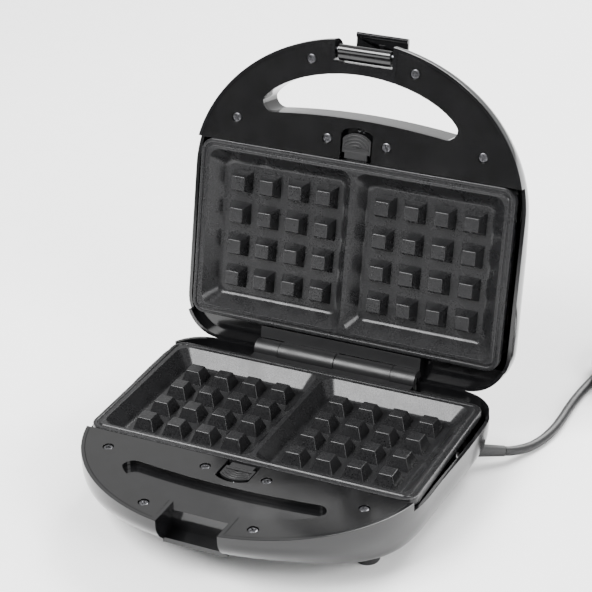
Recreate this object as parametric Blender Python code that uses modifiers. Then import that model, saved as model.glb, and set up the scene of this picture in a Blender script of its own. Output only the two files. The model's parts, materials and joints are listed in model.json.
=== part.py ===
# Two-slice waffle maker, standing open on its feet.
#
# Sizes are in millimetres unless a name says otherwise, and become metres when a mesh is made.
# Each half is drawn closed: x to the right, y from the handle to the hinge, and depth away from
# the parting plane between the two plates. A side is -1 for the base half and +1 for the lid half,
# so one function draws both. The lid half then hangs on the hinge axis and is turned open.

import math

import bmesh
import bpy
from mathutils import Matrix, Vector

MM = 0.001
BASE = -1
LID = 1

# Outline of both housings, seen from above
HALF_WIDTH = {BASE: 115.5, LID: 118.3}
REAR_HALF_WIDTH = {BASE: 117.8, LID: 118.3}
WIDEN_Y = (-20.0, 25.0)
FRONT_CENTRE_Y = -40.0
FRONT_REACH = 102.0
REAR_Y = {BASE: 77.5, LID: 78.5}
REAR_CORNER = 28.0
WALL = 2.4
EDGE_ROUND = 14.0
RIM_DEPTH = 0.8
SIDE_RIM_DEPTH = 6.4
REAR_RIM_DEPTH = 2.2

# Depth of each housing from the parting plane, as (y, depth) pairs from handle to hinge
BASE_DEPTH = ((-142.0, 17.0), (-120.0, 23.0), (-95.0, 32.0), (-70.0, 37.5), (-50.0, 38.0), (77.0, 38.0))
LID_DEPTH = ((-142.0, 17.0), (-110.0, 21.0), (-75.0, 24.0), (-50.0, 28.0), (-20.0, 37.0), (77.0, 39.0))

# Reach of a cutting tool past the outside of the object
SIDE_OUT = 130.0
FRONT_OUT = -160.0
REAR_OUT = 90.0
DEPTH_OUT = 60.0
TOP_OUT = -10.0

# Hinge
HINGE_Y = 77.1
HINGE_Z = -2.3
OPEN_ANGLE = 102.0
BARREL_RADIUS = 6.8
BARREL_CLEARANCE = 7.4
BASE_KNUCKLES = ((-58.5, -41.3), (0.3, 41.0))
LID_KNUCKLES = ((-41.0, -0.3), (41.3, 58.5))
HINGE_BLOCK_HALF = 58.5
HINGE_BLOCK_Y = 62.3
HINGE_BLOCK_TOP = {BASE: 2.7, LID: 0.6}
HINGE_BLOCK_DEPTH = 11.0
REAR_DECK_Y = 62.1
REAR_DECK_DEPTH = (9.0, 12.5)
PIN_RADIUS = 2.2
PIN_BORE = 2.5

# Handle: lens-shaped opening, latch notch and release catch slot
LENS_END_X = 61.6
LENS_END_Y = -93.2
LENS_END_RADIUS = 7.3
LENS_REACH = 25.8
LENS_REAR_Y = -89.7
LENS_TAPER = 1.4
DISH_DEPTH = 5.0
NOTCH_HALF = 20.5
NOTCH_WALL = 2.7
NOTCH_Y = {BASE: -120.0, LID: -125.5}
NOTCH_REAR_Y = {BASE: -117.3, LID: -117.0}
NOTCH_RUN_OUT_Y = (-122.0, -116.5)
CATCH_RIB_Y = (-130.6, -119.0)
CATCH_RIB_DEPTH = (18.5, 21.8)
LATCH_RELIEF_Y = -123.4
LATCH_RELIEF_DEPTH = 5.0
COVER_FRONT_GAP = 2.7
COVER_REAR_Y = -61.9
COVER_THICKNESS = 2.4
COVER_SEAT = 3.6
SLOT_HALF = 11.3
SLOT_Y = (-84.5, -50.0)
SHELF = ((-13.0, 13.0), (-89.0, -63.0), (7.5, 10.0))
SPRING_SEAT = ((-4.0, 4.0), (-88.6, -83.8), (3.7, 8.5))

# Screws of the handle covers
SCREWS = ((87.5, -78.5), (36.5, -125.2), (21.0, -74.5))
SCREW_HEAD = 3.1
SCREW_HEAD_DEPTH = (1.1, 2.1)
SCREW_SHANK = 1.5
SCREW_END = 11.5
RECESS_RADIUS = 3.6
RECESS_DEPTH = 1.6
SCREW_BORE = 1.9
SCREW_BORE_END = 12.5
BOSS_RADIUS = 3.6
TRAY_POSTS = ((60.0, -38.0), (60.0, 38.0))
TRAY_POST_RADIUS = 4.0

# Cooking plates
PLATE_HALF_X = 112.2
PLATE_HALF_Y = 61.5
PLATE_CORNER = 9.0
PLATE_TOP = 0.4
PLATE_SLAB = 6.0
PLATE_PAN = 12.0
PAN_HALF = (101.0, 51.0)
PAN_CORNER = 8.0
TONGUE = ((-7.0, 7.0), (-66.0, -60.0), (3.6, 5.5))
POCKET_FLOOR = 10.0
POCKET_FLOOR_X = (8.2, 96.6)
POCKET_TOP_X = (1.5, 105.7)
POCKET_FLOOR_Y = 46.6
POCKET_TOP_Y = 55.0
STUD_PITCH_X = 21.0
STUD_PITCH_Y = 22.2
STUD_BASE = 15.2
STUD_TIP = 9.4
STUD_TOP = 1.6
STUD_ROOT = 10.6
STUD_COLUMNS = (-4, -3, -2, -1, 1, 2, 3, 4)
STUD_ROWS = (-1.5, -0.5, 0.5, 1.5)

# Heating
TRAY_TOP = 12.3
TRAY_BOTTOM = 22.0
TRAY_SHEET = 0.8
TRAY_HALF = (98.0, 49.0)
TRAY_CORNER = 8.0
PORT_X = 18.0
ELEMENT_DEPTH = 16.4
ELEMENT_RADIUS = 3.2
THERMOSTAT_Y = 20.0

# Release catches
PAD = ((-10.0, 10.0), (-80.5, -67.0), (1.0, 3.2))
CATCH_BLOCK = ((-9.0, 9.0), (-73.0, -67.2), (2.5, 7.2))
CATCH_LIP = ((-8.0, 8.0), (-68.0, -63.2), (1.2, 3.2))
SPRING_Y = (-83.4, -73.4)
SPRING_DEPTH = 5.4
SPRING_RADIUS = 1.35
SPRING_WIRE = 0.3
SPRING_TURNS = 5

# Latch, drawn hooked under the base
LATCH_Y = -133.7
LATCH_Z = 4.0
LATCH_HALF = 18.3
LATCH_BARREL = 3.4
LATCH_PIN = 1.2
LATCH_BORE = 1.5
LATCH_FOLDED = 178.0
LATCH_WALLS = (
    ("arm", (-7.8, -1.0), (-0.8, 1.9)),
    ("flap", (-7.7, -5.6), (-30.2, 1.0)),
    ("hook", (-7.6, 7.0), (-30.1, -28.0)),
    ("lip", (3.5, 6.9), (-28.6, -26.5)),
)
LATCH_PIN_HALF = 22.6
HINGE_PIN_HALF = 57.5

# Stand
FLOOR_Z = -46.0
FEET = ((-84.0, -66.0), (84.0, -66.0), (-84.0, 60.0), (84.0, 60.0))
FOOT_RADIUS = 8.0
STAND_CENTRE_Y = 8.84

# Lamps in the lid
LAMPS_Y = 8.0
LAMP_RADIUS = 3.0
LAMP_HOLE = 3.35

# Mains lead
CORD_RADIUS = 3.2
EXIT_POINT = Vector((104.8, 60.3, -35.0))
EXIT_DIRECTION = Vector((0.80, 0.585, -0.165)).normalized()
RELIEF_LENGTH = 22.0
GAP = 0.3
CORD_STRAIGHT = 3.0
CORD_REST_Z = FLOOR_Z + CORD_RADIUS + 0.2
CORD_LANDING = ((129.9, 82.3, -40.8), (134.2, 90.2, -42.0))
CORD_ROUTE = (
    (137.6, 100.0),
    (140.0, 110.0),
    (141.4, 121.0),
    (141.8, 132.5),
    (141.7, 144.0),
    (141.8, 155.5),
    (142.4, 167.5),
    (143.5, 180.0),
    (145.7, 199.0),
)
COIL_CENTRE = (190.2, 215.2)
COIL_RADIUS = 36.0
COIL_HALF_WIDTH = 6.7
COIL_HEIGHT = 12.8
TIE_LIFT = 1.4
PLUG_X = 239.0
PLUG_TAIL_Y = 203.0


def collection(name):
    made = bpy.data.collections.new(name)
    bpy.context.scene.collection.children.link(made)
    return made


def material(name, colour, roughness, metallic=0.0):
    made = bpy.data.materials.new(name)
    made.use_nodes = True
    shader = made.node_tree.nodes["Principled BSDF"]
    shader.inputs["Base Color"].default_value = (*colour, 1.0)
    shader.inputs["Roughness"].default_value = roughness
    shader.inputs["Metallic"].default_value = metallic
    return made


def empty(name, place, turn=0.0, parent=None):
    made = bpy.data.objects.new(name, None)
    made.location = Vector(place) * MM
    made.rotation_euler.x = math.radians(turn)
    made.parent = parent
    parts.objects.link(made)
    return made


def mesh_object(name, bm, home, parent, place=(0.0, 0.0, 0.0), smooth=True):
    """Make an object in metres from a bmesh in millimetres."""
    bmesh.ops.recalc_face_normals(bm, faces=bm.faces)
    bmesh.ops.scale(bm, vec=(MM, MM, MM), verts=bm.verts)
    mesh = bpy.data.meshes.new(name)
    bm.to_mesh(mesh)
    bm.free()
    if smooth:
        mesh.shade_smooth()
        mesh.set_sharp_from_angle(angle=math.radians(30))
    made = bpy.data.objects.new(name, mesh)
    made.location = Vector(place) * MM
    made.parent = parent
    home.objects.link(made)
    return made


def piece(name, bm, finish, parent, place=(0.0, 0.0, 0.0)):
    made = mesh_object(name, bm, parts, parent, place)
    made.data.materials.append(finish)
    return made


def cutter(name, bm, parent, place=(0.0, 0.0, 0.0)):
    made = mesh_object("cut_" + name, bm, cutters, parent, place, smooth=False)
    made.hide_render = True
    made.display_type = "WIRE"
    return made


def boolean(target, tool, operation="DIFFERENCE"):
    step = target.modifiers.new(operation.title(), "BOOLEAN")
    step.operation = operation
    step.solver = "EXACT"
    step.object = tool


# Solids, drawn in millimetres

def add_box(bm, x, y, z):
    size = Vector((x[1] - x[0], y[1] - y[0], z[1] - z[0]))
    middle = Vector((x[0] + x[1], y[0] + y[1], z[0] + z[1])) / 2
    place = Matrix.Translation(middle) @ Matrix.Diagonal((*size, 1.0))
    bmesh.ops.create_cube(bm, size=1.0, matrix=place)


def box(x, y, z):
    bm = bmesh.new()
    add_box(bm, x, y, z)
    return bm


def deep_box(side, x, y, depth):
    """A box whose last pair is a depth from the parting plane."""
    bm = bmesh.new()
    add_deep_box(bm, side, x, y, depth)
    return bm


def add_deep_box(bm, side, x, y, depth):
    z = sorted((side * depth[0], side * depth[1]))
    add_box(bm, x, y, z)


def add_rod(bm, start, end, radius, segments, end_radius=None):
    start = Vector(start)
    end = Vector(end)
    along = end - start
    turn = along.to_track_quat("Z", "Y").to_matrix().to_4x4()
    bmesh.ops.create_cone(
        bm,
        cap_ends=True,
        segments=segments,
        radius1=radius,
        radius2=radius if end_radius is None else end_radius,
        depth=along.length,
        matrix=Matrix.Translation((start + end) / 2) @ turn,
    )


def rod(start, end, radius, segments, end_radius=None):
    bm = bmesh.new()
    add_rod(bm, start, end, radius, segments, end_radius)
    return bm


def add_column(bm, side, x, y, depth, radius, segments=10):
    add_rod(bm, (x, y, side * depth[0]), (x, y, side * depth[1]), radius, segments)


def loft(rings):
    """Skin a row of rings that have equal numbers of points, and close both ends."""
    bm = bmesh.new()
    loops = [[bm.verts.new(point) for point in ring] for ring in rings]
    for low, high in zip(loops, loops[1:]):
        for i, corner in enumerate(low):
            bm.faces.new((low[i - 1], corner, high[i], high[i - 1]))
    bm.faces.new(loops[0])
    bm.faces.new(loops[-1])
    return bm


def arc(centre, radius, start, end, steps):
    points = []
    for i in range(steps + 1):
        angle = math.radians(start + (end - start) * i / steps)
        points.append((centre[0] + radius * math.cos(angle), centre[1] + radius * math.sin(angle)))
    return points


def rounded_rectangle(x, y, radius, steps=3):
    centres = (
        (x[1] - radius, y[1] - radius, 0),
        (x[0] + radius, y[1] - radius, 90),
        (x[0] + radius, y[0] + radius, 180),
        (x[1] - radius, y[0] + radius, 270),
    )
    points = []
    for cx, cy, start in centres:
        points += arc((cx, cy), radius, start, start + 90, steps)
    return points


def at_depth(outline, side, depth):
    return [(x, y, side * depth) for x, y in outline]


def depth_at(profile, y):
    for (y0, d0), (y1, d1) in zip(profile, profile[1:]):
        if y <= y1:
            return d0 + (d1 - d0) * max(0.0, y - y0) / (y1 - y0)
    return profile[-1][1]


# Outlines

def right_outline(side, inset):
    """The right half of a housing's outline, from the middle of the handle to the hinge."""
    wide = HALF_WIDTH[side] - inset
    rear_wide = REAR_HALF_WIDTH[side] - inset
    reach = FRONT_REACH - inset
    points = []
    steps = 15
    for i in range(steps + 1):
        angle = math.radians(-90 + 90 * i / steps)
        points.append((wide * math.cos(angle), FRONT_CENTRE_Y + reach * math.sin(angle)))
    points[0] = (0.0, FRONT_CENTRE_Y - reach)
    corner = (REAR_HALF_WIDTH[side] - REAR_CORNER, REAR_Y[side] - REAR_CORNER)
    points.append((wide, WIDEN_Y[0]))
    points.append((rear_wide, WIDEN_Y[1]))
    points += arc(corner, REAR_CORNER - inset, 0, 90, 6)
    return points


def tub(side, inset, profile, thinner, top):
    """A housing-shaped solid: upright walls, a rounded edge, and a bottom that rises to the front."""
    turn_in = EDGE_ROUND - inset
    levels = [(inset, 0.0, 0.0)]
    for degrees in (0, 22, 42, 60, 76, 90):
        angle = math.radians(degrees)
        levels.append((inset + turn_in * (1 - math.cos(angle)), 0.25, 0.75 * math.sin(angle)))
    bm = bmesh.new()
    rings = []
    for level, (level_inset, straight, curved) in enumerate(levels):
        ring = []
        for x, y in right_outline(side, level_inset):
            full = depth_at(profile, y) - thinner
            depth = top if level == 0 else full * (straight + curved)
            ring.append(Vector((x, y, side * depth)))
        left = [Vector((-p.x, p.y, p.z)) for p in reversed(ring[1:])]
        rings.append([bm.verts.new(p) for p in ring + left])
    for low, high in zip(rings, rings[1:]):
        for i, corner in enumerate(low):
            bm.faces.new((low[i - 1], corner, high[i], high[i - 1]))
    bm.faces.new(rings[0])
    close_across(bm, rings[-1])
    return bm


def close_across(bm, ring):
    """Close a left-right symmetric ring with strips from side to side."""
    count = len(ring)
    bm.faces.new((ring[0], ring[1], ring[-1]))
    for i in range(1, count // 2):
        bm.faces.new((ring[i], ring[i + 1], ring[count - i - 1], ring[count - i]))


def lens_outline(grow):
    """The handle opening: a shallow arc behind, a long drawn-out arc in front, and two tight ends."""
    end = arc((LENS_END_X, LENS_END_Y), LENS_END_RADIUS + grow, 90, 0, 4)
    half = LENS_END_X + LENS_END_RADIUS + grow
    front = []
    for degrees in (12, 24, 36, 48, 60, 75, 90):
        angle = math.radians(degrees)
        x = half * math.cos(angle)
        front.append((x, LENS_END_Y - (LENS_REACH + grow) * math.sin(angle) ** LENS_TAPER))
    rise = LENS_END_Y + LENS_END_RADIUS - LENS_REAR_Y
    rear = []
    for x in (0.0, 20.0, 42.0):
        rear.append((x, LENS_REAR_Y + grow + rise * (x / LENS_END_X) ** 2))
    right = rear + end + front[:-1] + [(0.0, front[-1][1])]
    left = [(-x, y) for x, y in reversed(right[1:-1])]
    return right + left


# Cutters shared by the parts of one half

def boss_columns(side):
    bm = bmesh.new()
    for x, y in SCREWS:
        for sign in (-1, 1):
            add_column(bm, side, sign * x, y, (COVER_SEAT, DEPTH_OUT), BOSS_RADIUS)
    for x, y in TRAY_POSTS:
        for sign in (-1, 1):
            add_column(bm, side, sign * x, y, (TRAY_BOTTOM + GAP, DEPTH_OUT), TRAY_POST_RADIUS)
    return bm


def barrel_group(ranges, radius):
    bm = bmesh.new()
    for start, end in ranges:
        add_rod(bm, (start, HINGE_Y, HINGE_Z), (end, HINGE_Y, HINGE_Z), radius, 24)
    return bm


def widened(ranges):
    return tuple((start - GAP, end + GAP) for start, end in ranges)


def housing(side, name, profile, finish, parent):
    """One housing: shell, handle walls, screw bosses, hinge block and knuckles."""
    above = TOP_OUT / 2
    shell = piece(name, tub(side, 0.0, profile, 0.0, RIM_DEPTH), finish, parent)
    hollow = cutter(name + "_hollow", tub(side, WALL, profile, WALL, above), parent)

    def keep(label, bm):
        boolean(hollow, cutter(name + "_" + label, bm, parent))

    def cut(label, bm, operation="DIFFERENCE"):
        boolean(shell, cutter(name + "_" + label, bm, parent), operation)

    wall_half = NOTCH_HALF + NOTCH_WALL
    across = (-wall_half, wall_half)
    keep("notch_walls", deep_box(side, across, (FRONT_OUT, NOTCH_REAR_Y[side]), (RIM_DEPTH, DEPTH_OUT)))
    lens_depth = DISH_DEPTH + WALL if side == BASE else DEPTH_OUT
    outer_lens = lens_outline(WALL)
    keep("lens_walls", loft([at_depth(outer_lens, side, COVER_SEAT), at_depth(outer_lens, side, lens_depth)]))
    keep("catch_shelf", deep_box(side, *SHELF))
    keep("spring_seat", deep_box(side, *SPRING_SEAT))
    keep("rear_deck", deep_box(side, (-SIDE_OUT, SIDE_OUT), (REAR_DECK_Y, REAR_OUT), REAR_DECK_DEPTH))
    block_top = HINGE_BLOCK_TOP[side]
    block_x = (-HINGE_BLOCK_HALF, HINGE_BLOCK_HALF)
    keep("hinge_block", deep_box(side, block_x, (HINGE_BLOCK_Y, REAR_OUT), (block_top, HINGE_BLOCK_DEPTH)))
    keep("bosses", boss_columns(side))
    boolean(shell, hollow)

    notch_x = (-NOTCH_HALF, NOTCH_HALF)
    cut("notch", deep_box(side, notch_x, (FRONT_OUT, NOTCH_Y[side]), (TOP_OUT, DEPTH_OUT)))
    opening = lens_outline(0.0)
    opening_depth = DISH_DEPTH if side == BASE else DEPTH_OUT
    cut("lens", loft([at_depth(opening, side, TOP_OUT), at_depth(opening, side, opening_depth)]))
    if side == BASE:
        cut("run_out", deep_box(side, notch_x, NOTCH_RUN_OUT_Y, (TOP_OUT, DISH_DEPTH)))
        rib_x = (-NOTCH_HALF - 1.0, NOTCH_HALF + 1.0)
        cut("catch_rib", deep_box(side, rib_x, CATCH_RIB_Y, CATCH_RIB_DEPTH), "UNION")
    else:
        relief_depth = (LATCH_RELIEF_DEPTH, DEPTH_OUT)
        cut("latch_relief", deep_box(side, notch_x, (FRONT_OUT, LATCH_RELIEF_Y), relief_depth))

    cut("side_rim", deep_box(side, (-SIDE_OUT, SIDE_OUT), (COVER_REAR_Y, 62.0), (TOP_OUT, SIDE_RIM_DEPTH)))
    rear_rim = bmesh.new()
    for sign in (-1, 1):
        x = sorted((sign * (HINGE_BLOCK_HALF + 0.1), sign * SIDE_OUT))
        add_deep_box(rear_rim, side, x, (61.0, REAR_OUT), (TOP_OUT, REAR_RIM_DEPTH))
    cut("rear_rim", rear_rim)
    rim_half = HINGE_BLOCK_HALF + 0.5
    cut("block_rim", deep_box(side, (-rim_half, rim_half), (61.0, REAR_OUT), (2.0 * TOP_OUT, block_top)))

    own = BASE_KNUCKLES if side == BASE else LID_KNUCKLES
    other = LID_KNUCKLES if side == BASE else BASE_KNUCKLES
    cut("knuckle_room", barrel_group(widened(other), BARREL_CLEARANCE))
    cut("knuckles", barrel_group(own, BARREL_RADIUS), "UNION")
    bore_half = HINGE_BLOCK_HALF + 10.0
    cut("pin_bore", rod((-bore_half, HINGE_Y, HINGE_Z), (bore_half, HINGE_Y, HINGE_Z), PIN_BORE, 16))

    holes = bmesh.new()
    for x, y in SCREWS:
        for sign in (-1, 1):
            add_column(holes, side, sign * x, y, (0.0, SCREW_BORE_END), SCREW_BORE)
    cut("screw_holes", holes)
    return shell


def cover(side, name, finish, parent):
    """The inner handle cover, from the plate to the handle's edge, open at the latch notch."""
    outline = [p for p in right_outline(side, COVER_FRONT_GAP) if p[1] < COVER_REAR_Y - 2.0]
    reach = math.sqrt(1 - ((COVER_REAR_Y - FRONT_CENTRE_Y) / (FRONT_REACH - COVER_FRONT_GAP)) ** 2)
    outline.append(((HALF_WIDTH[side] - COVER_FRONT_GAP) * reach, COVER_REAR_Y))
    outline += [(-x, y) for x, y in reversed(outline[1:])]
    low = RIM_DEPTH
    high = RIM_DEPTH + COVER_THICKNESS
    plate = piece(name, loft([at_depth(outline, side, low), at_depth(outline, side, high)]), finish, parent)
    through = (TOP_OUT / 2, -TOP_OUT)
    opening = lens_outline(0.0)
    lens = loft([at_depth(opening, side, depth) for depth in through])
    boolean(plate, cutter(name + "_lens", lens, parent))
    half = NOTCH_HALF + NOTCH_WALL + GAP
    gap = deep_box(side, (-half, half), (FRONT_OUT, NOTCH_Y[BASE] + 8.0), through)
    boolean(plate, cutter(name + "_notch", gap, parent))
    slot = deep_box(side, (-SLOT_HALF, SLOT_HALF), SLOT_Y, through)
    boolean(plate, cutter(name + "_slot", slot, parent))
    heads = bmesh.new()
    shanks = bmesh.new()
    for x, y in SCREWS:
        for sign in (-1, 1):
            add_column(heads, side, sign * x, y, (0.0, RIM_DEPTH + RECESS_DEPTH), RECESS_RADIUS)
            add_column(shanks, side, sign * x, y, through, SCREW_BORE)
    boolean(plate, cutter(name + "_heads", heads, parent))
    boolean(plate, cutter(name + "_shanks", shanks, parent))
    return plate


def cover_screws(side, half_name, finish, parent):
    top, under = SCREW_HEAD_DEPTH
    number = 0
    for x, y in SCREWS:
        for sign in (-1, 1):
            number += 1
            bm = rod((sign * x, y, side * top), (sign * x, y, side * under), SCREW_HEAD, 10)
            head = piece(f"{half_name}_cover_screw_{number}", bm, finish, parent)
            middle = (top + under) / 2
            shank = rod((sign * x, y, side * middle), (sign * x, y, side * SCREW_END), SCREW_SHANK, 10)
            boolean(head, cutter(f"{half_name}_screw_shank_{number}", shank, parent), "UNION")


def pocket(side, sign):
    """The solid that leaves a pocket with sloping walls."""
    floor = rounded_rectangle(POCKET_FLOOR_X, (-POCKET_FLOOR_Y, POCKET_FLOOR_Y), 5.0)
    top = rounded_rectangle(POCKET_TOP_X, (-POCKET_TOP_Y, POCKET_TOP_Y), 8.0)
    lift = POCKET_FLOOR - PLATE_TOP
    rings = []
    for depth in (POCKET_FLOOR, PLATE_TOP - 2.0):
        share = (POCKET_FLOOR - depth) / lift
        ring = []
        for (x0, y0), (x1, y1) in zip(floor, top):
            ring.append((sign * (x0 + (x1 - x0) * share), y0 + (y1 - y0) * share, side * depth))
        rings.append(ring)
    return loft(rings)


def cooking_plate(side, name, finish, parent):
    """A cast plate with a flange, a pan, two pockets, sixteen studs in each, and a front tongue."""
    slab_outline = rounded_rectangle(
        (-PLATE_HALF_X, PLATE_HALF_X), (-PLATE_HALF_Y, PLATE_HALF_Y), PLATE_CORNER)
    slab = loft([at_depth(slab_outline, side, PLATE_TOP), at_depth(slab_outline, side, PLATE_SLAB)])
    plate = piece(name, slab, finish, parent)
    pan_x, pan_y = PAN_HALF
    pan_outline = rounded_rectangle((-pan_x, pan_x), (-pan_y, pan_y), PAN_CORNER)
    pan = loft([at_depth(pan_outline, side, PLATE_SLAB - 2.0), at_depth(pan_outline, side, PLATE_PAN)])
    boolean(plate, cutter(name + "_pan", pan, parent), "UNION")
    tongue = deep_box(side, *TONGUE)
    boolean(plate, cutter(name + "_tongue", tongue, parent), "UNION")
    for sign in (-1, 1):
        boolean(plate, cutter(f"{name}_pocket_{(sign + 3) // 2}", pocket(side, sign), parent))
    studs = bmesh.new()
    for column in STUD_COLUMNS:
        for row in STUD_ROWS:
            add_stud(studs, side, column * STUD_PITCH_X, row * STUD_PITCH_Y)
    boolean(plate, cutter(name + "_studs", studs, parent), "UNION")
    return plate


def add_stud(bm, side, x, y):
    """A four-sided pyramid with a flat tip, rooted a little way into the pocket's floor."""
    spread = (STUD_BASE - STUD_TIP) / (POCKET_FLOOR - STUD_TOP)
    root_side = STUD_BASE + spread * (STUD_ROOT - POCKET_FLOOR)
    made = bmesh.ops.create_cone(
        bm,
        cap_ends=True,
        segments=4,
        radius1=root_side / math.sqrt(2),
        radius2=STUD_TIP / math.sqrt(2),
        depth=STUD_ROOT - STUD_TOP,
        matrix=Matrix.Rotation(math.radians(45), 4, "Z"),
    )
    if side == LID:
        bmesh.ops.rotate(bm, verts=made["verts"], matrix=Matrix.Rotation(math.pi, 3, "X"))
    bmesh.ops.translate(bm, verts=made["verts"], vec=(x, y, side * (STUD_ROOT + STUD_TOP) / 2))


def reflector_tray(side, name, finish, parent):
    """A pressed pan behind the element, open towards the plate, with two ports for the element's ends."""
    half_x, half_y = TRAY_HALF
    outer = rounded_rectangle((-half_x, half_x), (-half_y, half_y), TRAY_CORNER)
    block = loft([at_depth(outer, side, TRAY_TOP), at_depth(outer, side, TRAY_BOTTOM)])
    tray = piece(name, block, finish, parent)
    in_x = half_x - TRAY_SHEET
    in_y = half_y - TRAY_SHEET
    inner = rounded_rectangle((-in_x, in_x), (-in_y, in_y), TRAY_CORNER - TRAY_SHEET)
    floor = TRAY_BOTTOM - TRAY_SHEET
    hollow = loft([at_depth(inner, side, TRAY_TOP - 3.0), at_depth(inner, side, floor)])
    boolean(tray, cutter(name + "_hollow", hollow, parent))
    ports = bmesh.new()
    depth = side * ELEMENT_DEPTH
    for x in (-PORT_X, PORT_X):
        start = (x, half_y - 9.0, depth)
        end = (x, half_y + 11.0, depth)
        add_rod(ports, start, end, ELEMENT_RADIUS + 0.5, 12)
    boolean(tray, cutter(name + "_ports", ports, parent))
    return tray


def element_route():
    """A ring that follows the plate's edge, with both ends leaving to the rear."""
    right = [(PORT_X, 58.0), (PORT_X, 44.0)]
    right += arc((PORT_X + 6.0, 36.0), 6.0, 180, 270, 2)
    right += arc((72.0, 20.0), 10.0, 90, 0, 3)
    right += arc((72.0, -26.0), 10.0, 0, -90, 3)
    left = [(-x, y) for x, y in reversed(right)]
    return right + left


def tube(name, points, radius, finish, parent, resolution):
    curve = bpy.data.curves.new(name, "CURVE")
    curve.dimensions = "3D"
    curve.bevel_depth = radius * MM
    curve.bevel_resolution = resolution
    curve.use_fill_caps = True
    spline = curve.splines.new("POLY")
    spline.points.add(len(points) - 1)
    for target, point in zip(spline.points, points):
        target.co = (*(Vector(point) * MM), 1.0)
    made = bpy.data.objects.new(name, curve)
    made.data.materials.append(finish)
    made.parent = parent
    parts.objects.link(made)
    return made


def heating_element(side, name, finish, parent):
    points = [(x, y, side * ELEMENT_DEPTH) for x, y in element_route()]
    return tube(name, points, ELEMENT_RADIUS, finish, parent, 1)


def turned(profile, segments, centre, axis):
    """A solid of revolution from (distance along the axis, radius) pairs, ending on the axis."""
    turn = Vector(axis).to_track_quat("Z", "Y").to_matrix()
    rings = []
    for along, radius in profile:
        ring = []
        for i in range(segments):
            angle = 2 * math.pi * i / segments
            spot = Vector((radius * math.cos(angle), radius * math.sin(angle), along))
            ring.append(turn @ spot + Vector(centre))
        rings.append(ring)
    return loft(rings)


def thermostat(side, name, finish, parent):
    start = TRAY_BOTTOM + GAP
    profile = ((start, 9.0), (start + 1.2, 9.0), (start + 1.2, 7.5), (start + 5.0, 7.5))
    bm = turned(profile, 16, (0.0, THERMOSTAT_Y, 0.0), (0.0, 0.0, side))
    return piece(name, bm, finish, parent)


def catch(side, name, finish, parent):
    """A sliding release catch: thumb pad, guide block and the lip over the plate's tongue."""
    body = piece(name, deep_box(side, *PAD), finish, parent)
    boolean(body, cutter(name + "_block", deep_box(side, *CATCH_BLOCK), parent), "UNION")
    boolean(body, cutter(name + "_lip", deep_box(side, *CATCH_LIP), parent), "UNION")
    return body


def catch_spring(side, name, finish, parent):
    per_turn = 8
    start, end = SPRING_Y
    points = []
    for i in range(SPRING_TURNS * per_turn + 1):
        angle = 2 * math.pi * i / per_turn
        share = i / (SPRING_TURNS * per_turn)
        across = SPRING_RADIUS * math.cos(angle)
        up = SPRING_RADIUS * math.sin(angle)
        points.append((across, start + (end - start) * share, side * SPRING_DEPTH + up))
    return tube(name, points, SPRING_WIRE, finish, parent, 0)


def latch(finish, parent):
    """The hooked latch, in its own frame with the pivot at the origin."""
    barrel = rod((-LATCH_HALF, 0.0, 0.0), (LATCH_HALF, 0.0, 0.0), LATCH_BARREL, 16)
    body = piece("latch", barrel, finish, parent)
    for name, y, z in LATCH_WALLS:
        wall = box((-LATCH_HALF, LATCH_HALF), y, z)
        boolean(body, cutter("latch_" + name, wall, parent), "UNION")
    end = LATCH_HALF + 2.0
    boolean(body, cutter("latch_bore", rod((-end, 0.0, 0.0), (end, 0.0, 0.0), LATCH_BORE, 12), parent))
    return body


def foot(name, x, y, finish, parent):
    top = -BASE_DEPTH[-1][1] - GAP
    profile = ((FLOOR_Z, FOOT_RADIUS - 1.0), (FLOOR_Z + 1.0, FOOT_RADIUS), (top, FOOT_RADIUS + 0.6))
    return piece(name, turned(profile, 20, (x, y, 0.0), (0.0, 0.0, 1.0)), finish, parent)


def indicator(name, x, finish, shell, parent):
    """A domed lamp lens through the lid's outer face."""
    surface = depth_at(LID_DEPTH, LAMPS_Y)
    profile = ((surface - 6.0, LAMP_RADIUS), (surface + 0.2, LAMP_RADIUS), (surface + 1.0, LAMP_RADIUS - 0.8))
    bm = turned(profile, 14, (x, LAMPS_Y, 0.0), (0.0, 0.0, 1.0))
    made = piece(name, bm, finish, parent)
    hole = rod((x, LAMPS_Y, surface - 10.0), (x, LAMPS_Y, surface + 5.0), LAMP_HOLE, 14)
    boolean(shell, cutter(name + "_hole", hole, parent))
    return made


def strain_relief(shell, finish, parent):
    """The tapered sleeve at the rear corner, through a hole in the base housing."""
    profile = (
        (-9.0, 6.6),
        (-5.6, 6.6),
        (-5.6, 4.4),
        (3.0, 4.4),
        (RELIEF_LENGTH, 3.6),
    )
    sleeve = turned(profile, 16, EXIT_POINT, EXIT_DIRECTION)
    made = piece("cord_strain_relief", sleeve, finish, parent)
    inside = EXIT_POINT - 20.0 * EXIT_DIRECTION
    end = EXIT_POINT + 20.0 * EXIT_DIRECTION
    boolean(shell, cutter("cord_hole", rod(inside, end, 4.9, 16), parent))
    start = EXIT_POINT - 12.0 * EXIT_DIRECTION
    room = rod(start, EXIT_POINT - 5.0 * EXIT_DIRECTION, 7.1, 16)
    boolean(shell, cutter("cord_collar_room", room, parent))
    return made


def inner_lead(finish, parent):
    start = EXIT_POINT - (9.0 + GAP) * EXIT_DIRECTION
    end = EXIT_POINT - 30.0 * EXIT_DIRECTION
    points = [start.lerp(end, i / 4) for i in range(5)]
    return tube("inner_mains_lead", points, CORD_RADIUS, finish, parent, 1)


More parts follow.
